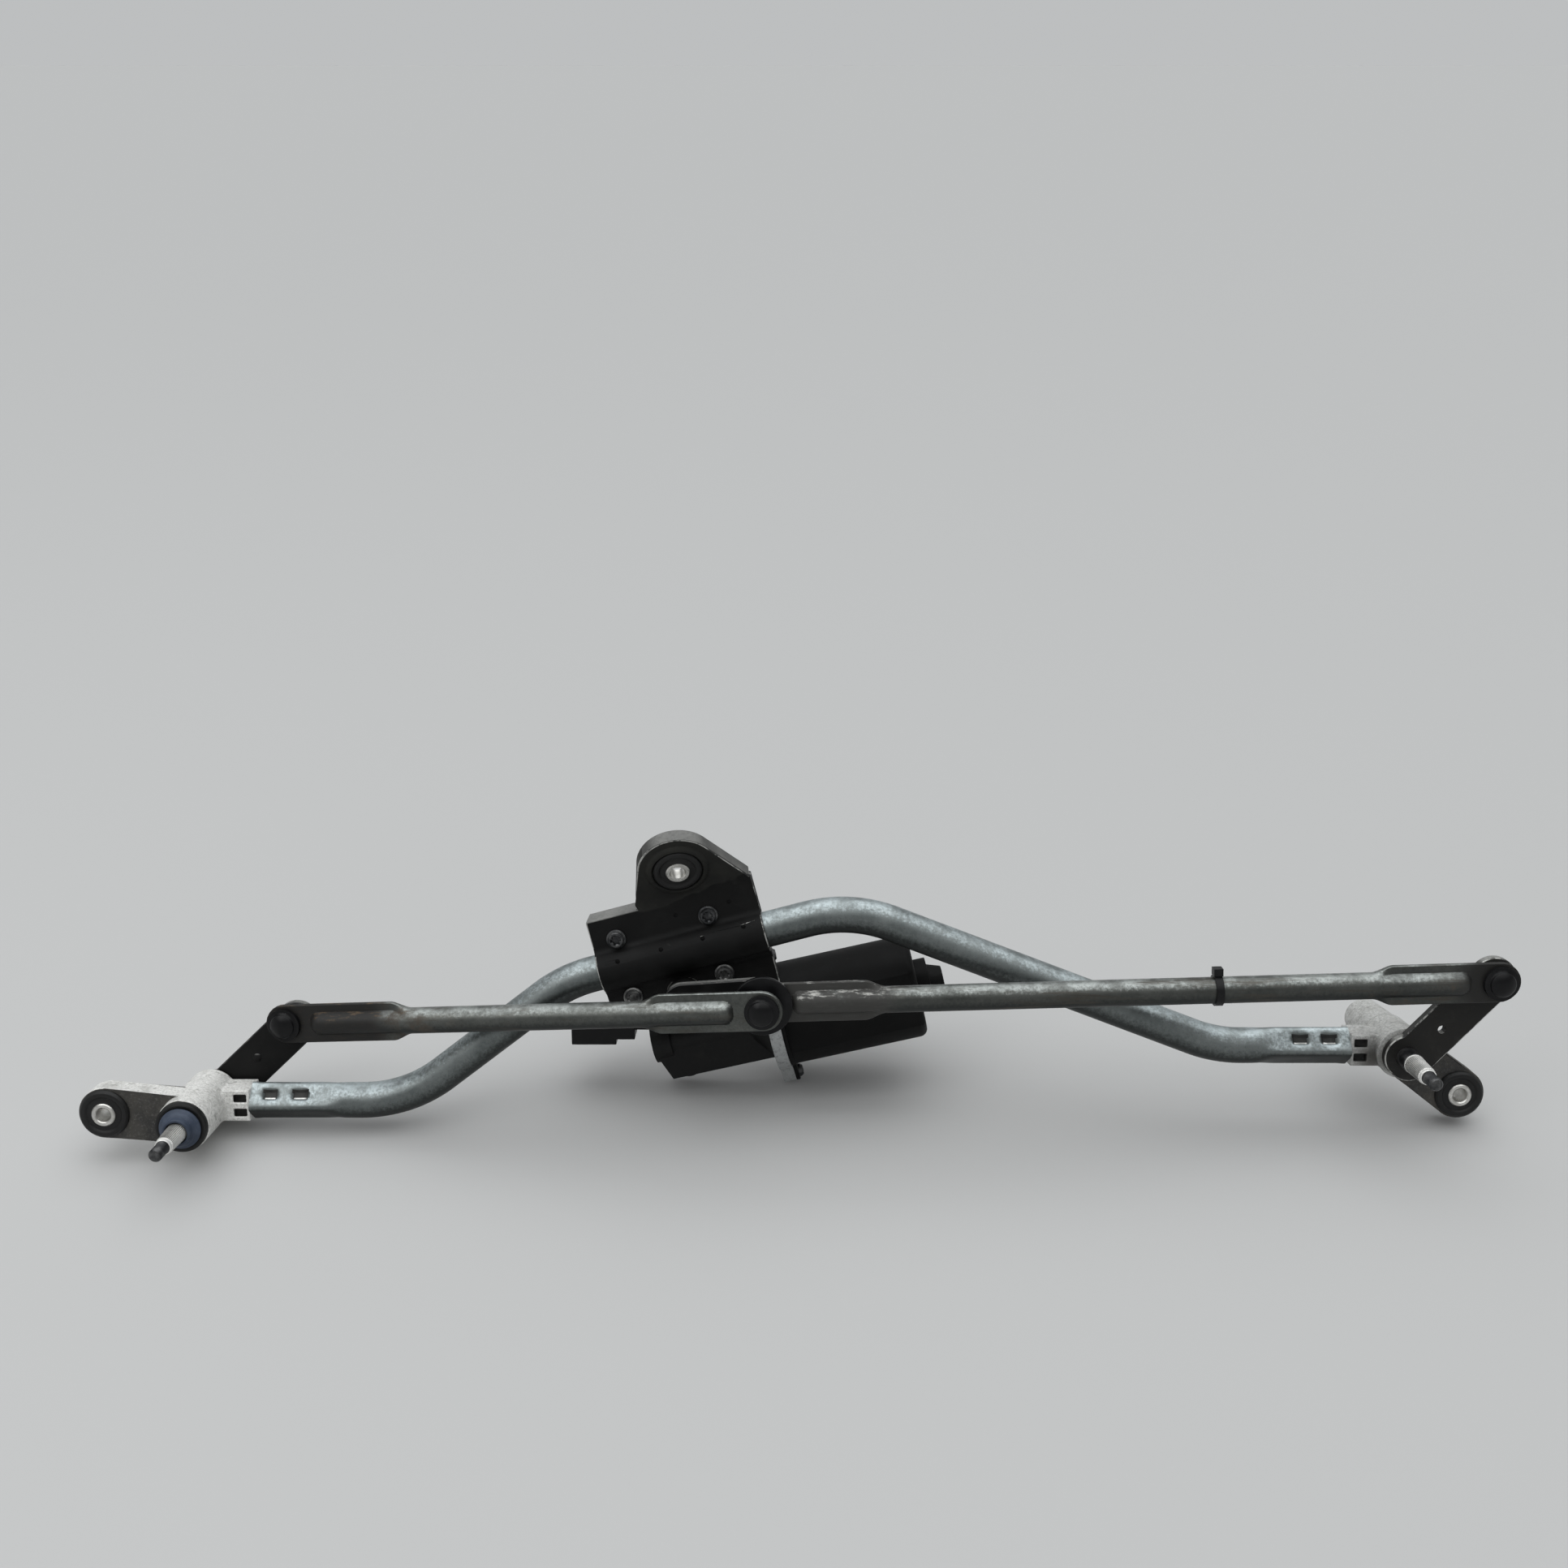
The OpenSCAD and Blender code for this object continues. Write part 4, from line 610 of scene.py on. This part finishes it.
def tube_corners():
    """Points where the straight lengths of the tube's axis would meet."""
    slope = radians(TUBE_SLOPE)
    over = TUBE_OFFSET * Vector((-sin(slope), cos(slope)))
    left = Vector((LEFT_BEND_X, LEFT_SPINDLE.y))
    right = Vector((RIGHT_BEND_X, RIGHT_SPINDLE.y))
    return [Vector((TUBE_START, LEFT_SPINDLE.y)), left, meeting(left, LEFT_RISE, over, TUBE_SLOPE),
            meeting(right, RIGHT_FALL, over, TUBE_SLOPE), right, Vector((TUBE_STOP, RIGHT_SPINDLE.y))]


def tube_line():
    """Places and headings along the tube's axis, close together at its ends and in its bends."""
    corners = tube_corners()
    line = []
    start = corners[0]
    for a, b, c in zip(corners, corners[1:], corners[2:] + [None]):
        way = (b - a).normalized()
        heading = atan2(way.y, way.x)
        stop = b
        if c is not None:
            onward = (c - b).normalized()
            turn = atan2(onward.y, onward.x) - heading
            stop = b - BEND_R * tan(abs(turn) / 2) * way
        length = (stop - start).length
        step = END_STEP if a == corners[0] or c is None else TUBE_STEP
        count = max(2, round(length / step))
        line += [(start + way * length * k / count, heading) for k in range(count + 1)]
        if c is not None:
            side = 1 if turn > 0 else -1
            hub = stop + side * BEND_R * Vector((-way.y, way.x))
            steps = max(4, round(abs(degrees(turn)) / BEND_STEP))
            for k in range(1, steps):
                h = heading + turn * k / steps
                line.append((hub - side * BEND_R * Vector((-sin(h), cos(h))), h))
            start = b + BEND_R * tan(abs(turn) / 2) * onward
    return line


def tube_ring(place, heading, inner=0.0):
    """Points round the tube at a place of its axis, squared near the tube's ends."""
    reach = min(place.x - TUBE_START, TUBE_STOP - place.x)
    square = 1 - ramp(reach, SQUARE_FROM, SQUARE_TO)
    flare = FLARE * (1 - ramp(reach, 1, 5))
    ring = []
    for k in range(TUBE_POINTS):
        a = 2 * pi * k / TUBE_POINTS
        b = a - (pi / 2 - WINDOW_TURN)
        boxed = SQUARE_HALF / (cos(b) ** 6 + sin(b) ** 6) ** (1 / 6)
        r = TUBE_R * (1 - square) + boxed * square + flare - inner
        aside = r * cos(a)
        ring.append(Vector((place.x - aside * sin(heading), place.y + aside * cos(heading), r * sin(a))))
    return ring


def crimp_window(bm, middle, y):
    """Dents the tube round a crimp window and sinks the window's floor, with painted shade on the floor and
    the rim's upper walls and a painted highlight as a bright lip on the floor's lower part.
    """
    def off(c):
        """Distances from the window's middle, along the tube and round it."""
        return c.x - middle, (atan2(c.y - y, c.z) - WINDOW_TURN) * 10

    for v in bm.verts:
        along, aside = off(v.co)
        if abs(v.co.x - middle) < 9 and hypot(v.co.y - y, v.co.z) > 8.8:
            sink = DENT_DEPTH * (1 - ramp(hypot(along / 1.25, aside), DENT_FLAT, DENT_REACH))
            v.co -= sink * Vector((0, v.co.y - y, v.co.z)).normalized()
    pick = []
    for face in bm.faces:
        c = face.calc_center_median()
        along, aside = off(c)
        if abs(along) < WINDOW_HALF_L and abs(aside) < WINDOW_HALF_W and hypot(c.y - y, c.z) > 7.6:
            pick.append(face)
    rim = bmesh.ops.inset_region(bm, faces=pick, thickness=WINDOW_RIM, depth=-WINDOW_DEPTH,
                                 use_even_offset=True)["faces"]
    # Painted shade on the floor and on the rim's upper walls, painted highlight on the floor's lower part
    for face in pick:
        face.material_index = 1 if off(face.calc_center_median())[1] > HIGHLIGHT_BELOW else 2
    for face in rim:
        if off(face.calc_center_median())[1] > SHADE_ABOVE:
            face.material_index = 1


def frame_tube():
    line = tube_line()
    first, last = line[0], line[-1]
    inward = Vector((BORE_SHOWN, 0))
    rings = [tube_ring(first[0] + inward, 0, TUBE_WALL), tube_ring(*first, TUBE_WALL)]
    rings += [tube_ring(place, heading) for place, heading in line]
    rings += [tube_ring(*last, TUBE_WALL), tube_ring(last[0] - inward, 0, TUBE_WALL)]
    bm = skin(rings)
    for end_x, y, way in ((TUBE_START, LEFT_SPINDLE.y, 1), (TUBE_STOP, RIGHT_SPINDLE.y, -1)):
        for step in WINDOW_STEPS:
            crimp_window(bm, end_x + way * step, y)
    # Second and third finishes: painted shade and painted highlight in the crimp windows
    piece("bent_tube", bm, "frame", [ZINC_TUBE, PAINTED_SHADE, STEEL], ["frame_tube"], 50)


frame_tube()


# Rods with pressed ends: a flat plate with a half-round bead in front
ROD_R, EYE_R, FLAT_T = 8, 12.2, 3
BEAD_R, BEAD_AT, BEAD_ROOT = 7.2, 17, 0.8
BEAD_POINTS = 16
PLATE_SOFT = 0.5
HALF_RING = 27
ROD_STATIONS = 12


def rod_section(d, flat_l):
    """Ring of the rod at a distance from its nearest ball, as (y, z) pairs."""
    round_share = ramp(d, flat_l - 9, flat_l + 4)
    w = EYE_R if d >= 0 else sqrt(max(EYE_R ** 2 - d ** 2, 0))
    bead = 0.0
    if d > BEAD_AT:
        bead = sqrt(max(BEAD_R ** 2 - max(BEAD_AT + BEAD_R - d, 0) ** 2, 0))
    h = FLAT_T / 2
    k = w / EYE_R
    flat = w - PLATE_SOFT * k
    edge = BEAD_R + BEAD_ROOT
    plate = [(w, 0), (w, h - PLATE_SOFT), (flat, h)]
    plate += [(flat * (1 - s) + edge * k * s, h) for s in (0.33, 0.66)]
    for i in range(BEAD_POINTS + 1):
        y = edge * cos(pi * i / BEAD_POINTS)
        z = h + max(sqrt(max(bead ** 2 - y ** 2, 0)) - h, 0)
        plate.append((y * k, z))
    plate += [(-(flat * (1 - s) + edge * k * s), h) for s in (0.66, 0.33)]
    plate += [(-flat, h), (-w, h - PLATE_SOFT), (-w, 0), (-w, PLATE_SOFT - h), (-flat, -h)]
    plate += [(flat * (i - 4) / 5, -h) for i in range(9)]
    plate += [(flat, -h), (w, PLATE_SOFT - h)]
    ring = []
    for i, (y, z) in enumerate(plate):
        a = pi * i / HALF_RING
        if i > HALF_RING:
            a = pi + pi * (i - HALF_RING) / (len(plate) - HALF_RING)
        ring.append((y * (1 - round_share) + ROD_R * cos(a) * round_share,
                     z * (1 - round_share) + ROD_R * sin(a) * round_share))
    return ring


def rod_frame(z0, ball, z1):
    """A rod's place, with its x axis from the crank pin to a lever's ball, and its length."""
    flat = ball - CRANK_PIN
    place = (Matrix.Translation((CRANK_PIN.x, CRANK_PIN.y, z0))
             @ Matrix.Rotation(atan2(flat.y, flat.x), 4, "Z")
             @ Matrix.Rotation(-atan2(z1 - z0, flat.length), 4, "Y"))
    return place, hypot(flat.length, z1 - z0)


def end_stations(flat_l):
    """Distances from a ball at which the sections of a pressed end are drawn."""
    out = [-EYE_R * cos(pi / 2 * i / 8) for i in range(8)] + [0, 6, 12, BEAD_AT]
    out += [BEAD_AT + BEAD_R * (1 - cos(pi / 2 * i / 7)) for i in range(1, 8)]
    return out + [32, 44, 54] + [flat_l - 10 + 1.5 * i for i in range(11)]


def pressed_rod(name, z0, ball, z1, body, finish, node, crank_flat, lever_flat):
    place, length = rod_frame(z0, ball, z1)
    near, far = end_stations(crank_flat), end_stations(lever_flat)
    between = length - near[-1] - far[-1]
    middle = [near[-1] + between * i / ROD_STATIONS for i in range(1, ROD_STATIONS)]
    rings = []
    for x in near + middle + [length - x for x in reversed(far)]:
        section = rod_section(x, crank_flat) if x < length / 2 else rod_section(length - x, lever_flat)
        rings.append([Vector((x, y, z)) for y, z in section])
    bm = skin(rings)
    bmesh.ops.transform(bm, matrix=place, verts=bm.verts)
    piece(name, bm, body, [finish], [node], 40)


pressed_rod("left_pressed_rod", OUTER_BALL_Z, LEFT_BALL, LEFT_BALL_Z, "left_link", ZINC_LEFT_ROD,
            "left_rod", 70, 79)
pressed_rod("right_pressed_rod", INNER_BALL_Z, RIGHT_BALL, RIGHT_BALL_Z, "right_link", ZINC_RIGHT_ROD,
            "right_rod", 70, 72)


# Wiper spindles with a knurled cone, a bright ring and a threaded tip
THREAD_L, RING_L = 12, 2.5
THREAD_TURNS, THREAD_PITCH = 9, 1.2
SPINDLE_STEPS = 72
KNURL_DEPTH = 0.5


def spindle(name, node, body, place, foot, seat, tip, base_finish):
    thread = tip - THREAD_L
    cone_end = thread - RING_L
    profile = [(0, foot), (6.0, foot), (6.5, foot + 0.5), (6.5, seat - 0.4), (6.1, seat)]
    profile += [(6.1 - 0.7 * i / 6, seat + 0.3 + (cone_end - seat - 0.6) * i / 6) for i in range(7)]
    profile += [(4.7, cone_end), (4.8, cone_end + 0.3), (4.8, thread - 0.4), (4.3, thread)]
    for i in range(THREAD_TURNS):
        z = thread + 0.4 + THREAD_PITCH * i
        profile += [(3.5, z), (4.0, z + 0.45), (4.0, z + 0.75)]
    profile += [(3.2, tip - 0.1), (0, tip)]
    bm = turned(profile, SPINDLE_STEPS)
    knurl(bm, seat + 0.1, cone_end - 0.1, SPINDLE_STEPS, KNURL_DEPTH)
    paint_above(bm, seat, 1)
    # Every second line of the knurl gets painted shade
    for face in bm.faces:
        c = face.calc_center_median()
        line = int((atan2(c.y, c.x) + 2 * pi) / (2 * pi / SPINDLE_STEPS))
        if seat + 0.4 < c.z < cone_end - 0.4 and line % 2:
            face.material_index = 3
    paint_above(bm, thread, 2)
    bmesh.ops.transform(bm, matrix=Matrix.Translation(place), verts=bm.verts)
    piece(name, bm, body, [base_finish, KNURL, DARK, GROOVE_SHADE], [node], 30)


spindle("left_wiper_spindle", "left_spindle", "left_arm", LEFT_SPINDLE, -18, 49.5, 84, STEEL)
spindle("right_wiper_spindle", "right_spindle", "right_arm", RIGHT_SPINDLE, -57, 33, 66.5, DARK)


# Mounting bushes: a rubber spool with a raised lip round a steel sleeve
SLEEVE_PROUD = 3.2
LUG_T, TAB_T = 14, 2.5
LEFT_LUG_BACK, RIGHT_LUG_BACK = 18, -15


def bush(name, place, thick, rubber_node, sleeve_node):
    lip = [(7.25, 2.1), (8.6, 1.5), (10.4, 1.5), (11.2, 2.3), (12.2, 2.6), (13.6, 2.4), (14.6, 1.6),
           (15, 0.6), (15, 0)]
    rubber = [(r, thick + z) for r, z in lip] + [(11, thick), (11, 0)] + [(r, -z) for r, z in reversed(lip)]
    bm = turned(rubber, 64, place, closed=True)
    piece(name + "_bush_spool", bm, "frame", [RUBBER], [rubber_node], 30)
    front, back = thick + SLEEVE_PROUD, -SLEEVE_PROUD
    sleeve = [(4.4, front - 0.6), (5.0, front), (6.6, front), (7.2, front - 0.6), (7.2, back + 0.6),
              (6.6, back), (5.0, back), (4.4, back + 0.6)]
    bm = turned(sleeve, 48, place, closed=True)
    piece(name + "_bush_tube", bm, "frame", [SLEEVE], [sleeve_node], 30)


CENTRE_BUSH = TAB @ Matrix.Translation((17.9, 20.3, 0))
bush("left", Matrix.Translation(LEFT_BUSH + Vector((0, 0, LEFT_LUG_BACK))), LUG_T,
     "left_bush_rubber", "left_bush_sleeve")
bush("right", Matrix.Translation(RIGHT_BUSH + Vector((0, 0, RIGHT_LUG_BACK))), LUG_T,
     "right_bush_rubber", "right_bush_sleeve")
bush("centre", CENTRE_BUSH, TAB_T, "centre_bush_rubber", "centre_bush_sleeve")


# Seal and domed dust cap round the left spindle
BARREL_FRONT = 40


def left_cap():
    place = Matrix.Translation(LEFT_SPINDLE + Vector((0, 0, BARREL_FRONT)))
    seal = [(11.5, 0), (15.2, 0), (15.5, 0.8), (15.5, 3.2), (15.1, 4.1), (14.2, 4.5), (12.9, 4.3),
            (11.5, 3.6)]
    bm = turned(seal, 64, place, closed=True)
    piece("left_seal_ring", bm, "frame", [RUBBER], ["left_seal"], 30)
    cap = [(6.8, 4.5), (12.5, 4.5), (12.5, 5.3), (12.1, 5.8), (11.0, 6.3), (10.4, 6.9), (9.9, 7.6),
           (9.3, 8.0), (8.7, 8.4), (8.5, 11.6), (8.1, 12.2), (7.4, 12.3), (6.8, 12.0)]
    bm = turned(cap, 64, place, closed=True)
    piece("left_cap_dome", bm, "frame", [CAP_BLUE], ["left_dust_cap"], 30)


left_cap()


# Raised collar of the tab round its bush
def tab_collar():
    ring = [(15.3, 2.3), (15.4, 3.9), (15.9, 4.4), (17.2, 4.4), (18.0, 3.9), (18.9, 2.8), (19.4, 2.3)]
    bm = turned(ring, 64, CENTRE_BUSH, closed=True)
    piece("tab_collar", bm, "frame", [COAT], crease=40)


tab_collar()


# Rivet bump on the left lever
def lever_bump():
    dome = [(0, 1.0), (1.2, 0.9), (2.2, 0.5), (2.8, -0.1)]
    bm = turned(dome, 32, Matrix.Translation((-271, -47, -12.5)))
    piece("left_lever_bump", bm, "left_arm", [COAT_LEVER])


lever_bump()


# Soft roots where the tube's channel rises from the bracket's plate
CHANNEL_R, CHANNEL_ROOT, FILLET_R = 13.53, 12.93, 5
FILLET_STEPS = 8
FILLET_START, FILLET_L = -46.4, 104.8


def channel_fillets():
    up = PLATE_FRONT + FILLET_R
    away = sqrt((CHANNEL_R + FILLET_R) ** 2 - up ** 2)
    sweep = pi / 2 - atan2(up, away)
    bm = bmesh.new()
    for side in (-1, 1):
        rise = [(away - FILLET_R * sin(a), up - FILLET_R * cos(a))
                for a in (sweep * i / FILLET_STEPS for i in range(FILLET_STEPS + 1))]
        outline = rise + [(CHANNEL_ROOT - 1.2, PLATE_FRONT - 0.6), (away, PLATE_FRONT - 0.3)]
        verts = [bm.verts.new((FILLET_START, TUBE_OFFSET + side * v, z)) for v, z in outline]
        made = bmesh.ops.extrude_face_region(bm, geom=[bm.faces.new(verts)])["geom"]
        far = [v for v in made if isinstance(v, bmesh.types.BMVert)]
        bmesh.ops.translate(bm, vec=(FILLET_L, 0, 0), verts=far)
    bmesh.ops.transform(bm, matrix=PLATE_TURN, verts=bm.verts)
    piece("channel_fillets", bm, "frame", [COAT], crease=30)


channel_fillets()


# Motor screws with a flange and a six-lobed drive
SCREW_ACROSS, SCREW_LOW, SCREW_HIGH = (-31, 27), 7.2, 45.2
LOBES, LOBE_SHARE = 6, 0.16


def lobed_screw(place, finish):
    """One screw as a mesh, with one of the two finishes of the screws."""
    profile = [(0, 1.4), (1.2, 1.4), (2.5, 1.5), (2.7, 3.8), (3.3, 4.4), (4.3, 4.2), (4.9, 3.4), (5.0, 1.7),
               (5.9, 1.3), (6, 0.7), (6, 0), (3, 0), (3, -14), (0, -14)]
    bm = turned(profile, 48)
    for v in bm.verts:
        if 2 < hypot(v.co.x, v.co.y) < 2.9 and v.co.z > 1:
            v.co.xy *= 1 + LOBE_SHARE * cos(LOBES * atan2(v.co.y, v.co.x))
    for face in bm.faces:
        face.material_index = finish
    bmesh.ops.transform(bm, matrix=place, verts=bm.verts)
    mesh = bpy.data.meshes.new("one screw")
    bm.to_mesh(mesh)
    bm.free()
    return mesh


def motor_screws():
    bm = bmesh.new()
    for across in SCREW_ACROSS:
        for finish, up in enumerate((SCREW_LOW, SCREW_HIGH)):
            mesh = lobed_screw(PLATE_TURN @ Matrix.Translation((across, up, PLATE_FRONT)), finish)
            bm.from_mesh(mesh)
            bpy.data.meshes.remove(mesh)
    piece("lobed_screws", bm, "frame", [SCREW, DARK], ["motor_screws"], 32)


motor_screws()


# CAD solids with rounded and worn edges
CAN_END, CAN_RIM_R = 141, 24
TAB_ZONE = 50


def can_rim(p):
    """Whether a place is on the outer rim of the motor can's end."""
    q = MOTOR.inverted() @ p
    return abs(q.z - CAN_END) < 0.4 and hypot(q.x, q.y) > CAN_RIM_R


def up_plate(p):
    """Height of a place on the bracket's plate, across the tube."""
    return p.y * cos(radians(TUBE_SLOPE)) - p.x * sin(radians(TUBE_SLOPE))


def channel_root(p):
    """Whether a place is on the line where the tube's channel meets the bracket's plate."""
    return abs(p.z - PLATE_FRONT) < 0.3 and abs(abs(up_plate(p) - TUBE_OFFSET) - 12.9) < 0.5


def sheet_top(p, normal):
    """Whether a place is on an upward edge of the bracket's sheet, off the channel and the tab's root."""
    on_tab = TAB.inverted() @ p
    at_root = on_tab.x > -13 and on_tab.y < 4
    return normal.z > 0.5 and (up_plate(p) > TAB_ZONE or p.z < PLATE_FRONT + 0.1) and not at_root


# Bracket bevels: wear, and painted highlight along the rims
softened("mount_bracket", 0.8, WEAR_AND_HIGHLIGHT, channel_root, 0.5, other=sheet_top, other_finish=DUSTY_EDGE)
for node, rim in (("left_lever", WORN_DARK), ("right_lever", WORN_RIM), ("crank_arm", WORN_DARK)):
    softened(node, 0.7, rim)
for rod in ("left_rod", "right_rod"):
    softened(rod + "_lever_socket", 0.6)
    softened(rod + "_crank_socket", 0.6)
softened("motor_can", 0.5, None, can_rim, 5)
softened("connector_socket", 0.6)

POCKET_FROM, POCKET_TO = 19.2, 28.8
SPIGOT_FROM, SPIGOT_R, SPIGOT_SHARE = 29.5, 9.1, 0.55


def in_pocket(hub, way):
    """A test for places inside the pockets of a housing's spigot."""
    def rule(p, normal):
        return (POCKET_FROM < way * (p.x - hub.x) < POCKET_TO and abs(p.y - hub.y) < 7.4
                and 4.5 < abs(p.z) < 8.8)
    return rule


def slim_spigot(hub, way):
    """Draws the part of a spigot that is inside the tube clear of the crimp windows."""
    def move(p):
        if way * (p.x - hub.x) > SPIGOT_FROM and hypot(p.y - hub.y, p.z) < SPIGOT_R:
            return Vector((p.x, hub.y + SPIGOT_SHARE * (p.y - hub.y), SPIGOT_SHARE * p.z))
        return p
    return move


# Faces inside the spigot pockets get painted shade
for node, hub, way in (("left_housing", LEFT_SPINDLE, 1), ("right_housing", RIGHT_SPINDLE, -1)):
    softened(node, 0.8, other=in_pocket(hub, way), other_finish=PAINTED_SHADE, reshape=slim_spigot(hub, way))


# Floor, light and camera
FLOOR_HALF = 60
FLOOR_TONE = (0.5, 0.5, 0.497)
# Strength of the dome from one height to another: overhead light, and haze at the horizon
OVERHEAD = (0.5, 0.92, 0.2, 1.85)
HAZE = (0.12, 0.42, 0.325, 0.0)
DOME_TONE = (0.97, 0.99, 1.0, 1)
CAMERA_PLACE, LOOK_DOWN = (0.0639, -0.8372, 0.4463), 25
SENSOR, LENS = 36, 36.335


def floor(z):
    bm = bmesh.new()
    bmesh.ops.create_grid(bm, x_segments=1, y_segments=1, size=FLOOR_HALF)
    mesh = bpy.data.meshes.new("floor")
    bm.to_mesh(mesh)
    bm.free()
    obj = bpy.data.objects.new("floor", mesh)
    bpy.context.scene.collection.objects.link(obj)
    obj.location.z = z
    mesh.materials.append(Finish("pale floor").done(FLOOR_TONE, 0.75))


def softbox(name, place, aim, size, power):
    lamp = bpy.data.lights.new(name, "AREA")
    lamp.shape = "RECTANGLE"
    lamp.size, lamp.size_y = size
    lamp.energy = power
    obj = bpy.data.objects.new(name, lamp)
    obj.location = place
    obj.rotation_euler = (Vector(aim) - Vector(place)).to_track_quat("-Z", "Y").to_euler()
    bpy.context.scene.collection.objects.link(obj)


def studio_dome():
    """Soft dome light: bright overhead, dim at the sides, with a pale haze at the horizon."""
    world = bpy.data.worlds.new("studio dome")
    world.use_nodes = True
    tree = world.node_tree
    height = tree.nodes.new("ShaderNodeSeparateXYZ")
    tree.links.new(tree.nodes.new("ShaderNodeTexCoord").outputs["Generated"], height.inputs[0])
    total = tree.nodes.new("ShaderNodeMath")
    for index, steps in enumerate((OVERHEAD, HAZE)):
        part = tree.nodes.new("ShaderNodeMapRange")
        part.interpolation_type = "SMOOTHSTEP"
        tree.links.new(height.outputs["Z"], part.inputs["Value"])
        for socket, value in zip(("From Min", "From Max", "To Min", "To Max"), steps):
            part.inputs[socket].default_value = value
        tree.links.new(part.outputs["Result"], total.inputs[index])
    tree.nodes["Background"].inputs["Color"].default_value = DOME_TONE
    tree.links.new(total.outputs[0], tree.nodes["Background"].inputs["Strength"])
    bpy.context.scene.world = world


def photo_camera():
    """Camera at the photograph's viewing angle."""
    camera = bpy.data.cameras.new("camera")
    camera.sensor_width = SENSOR
    camera.lens = LENS
    obj = bpy.data.objects.new("camera", camera)
    obj.location = CAMERA_PLACE
    obj.rotation_euler = (radians(90 - LOOK_DOWN), 0, 0)
    bpy.context.scene.collection.objects.link(obj)
    bpy.context.scene.camera = obj


floor(cad_box[0].z)
softbox("window", (-1.5, -1.2, 1.7), (0, 0, -0.1), (1.4, 1.2), 9)
studio_dome()
photo_camera()
bpy.context.scene.view_settings.view_transform = "Standard"
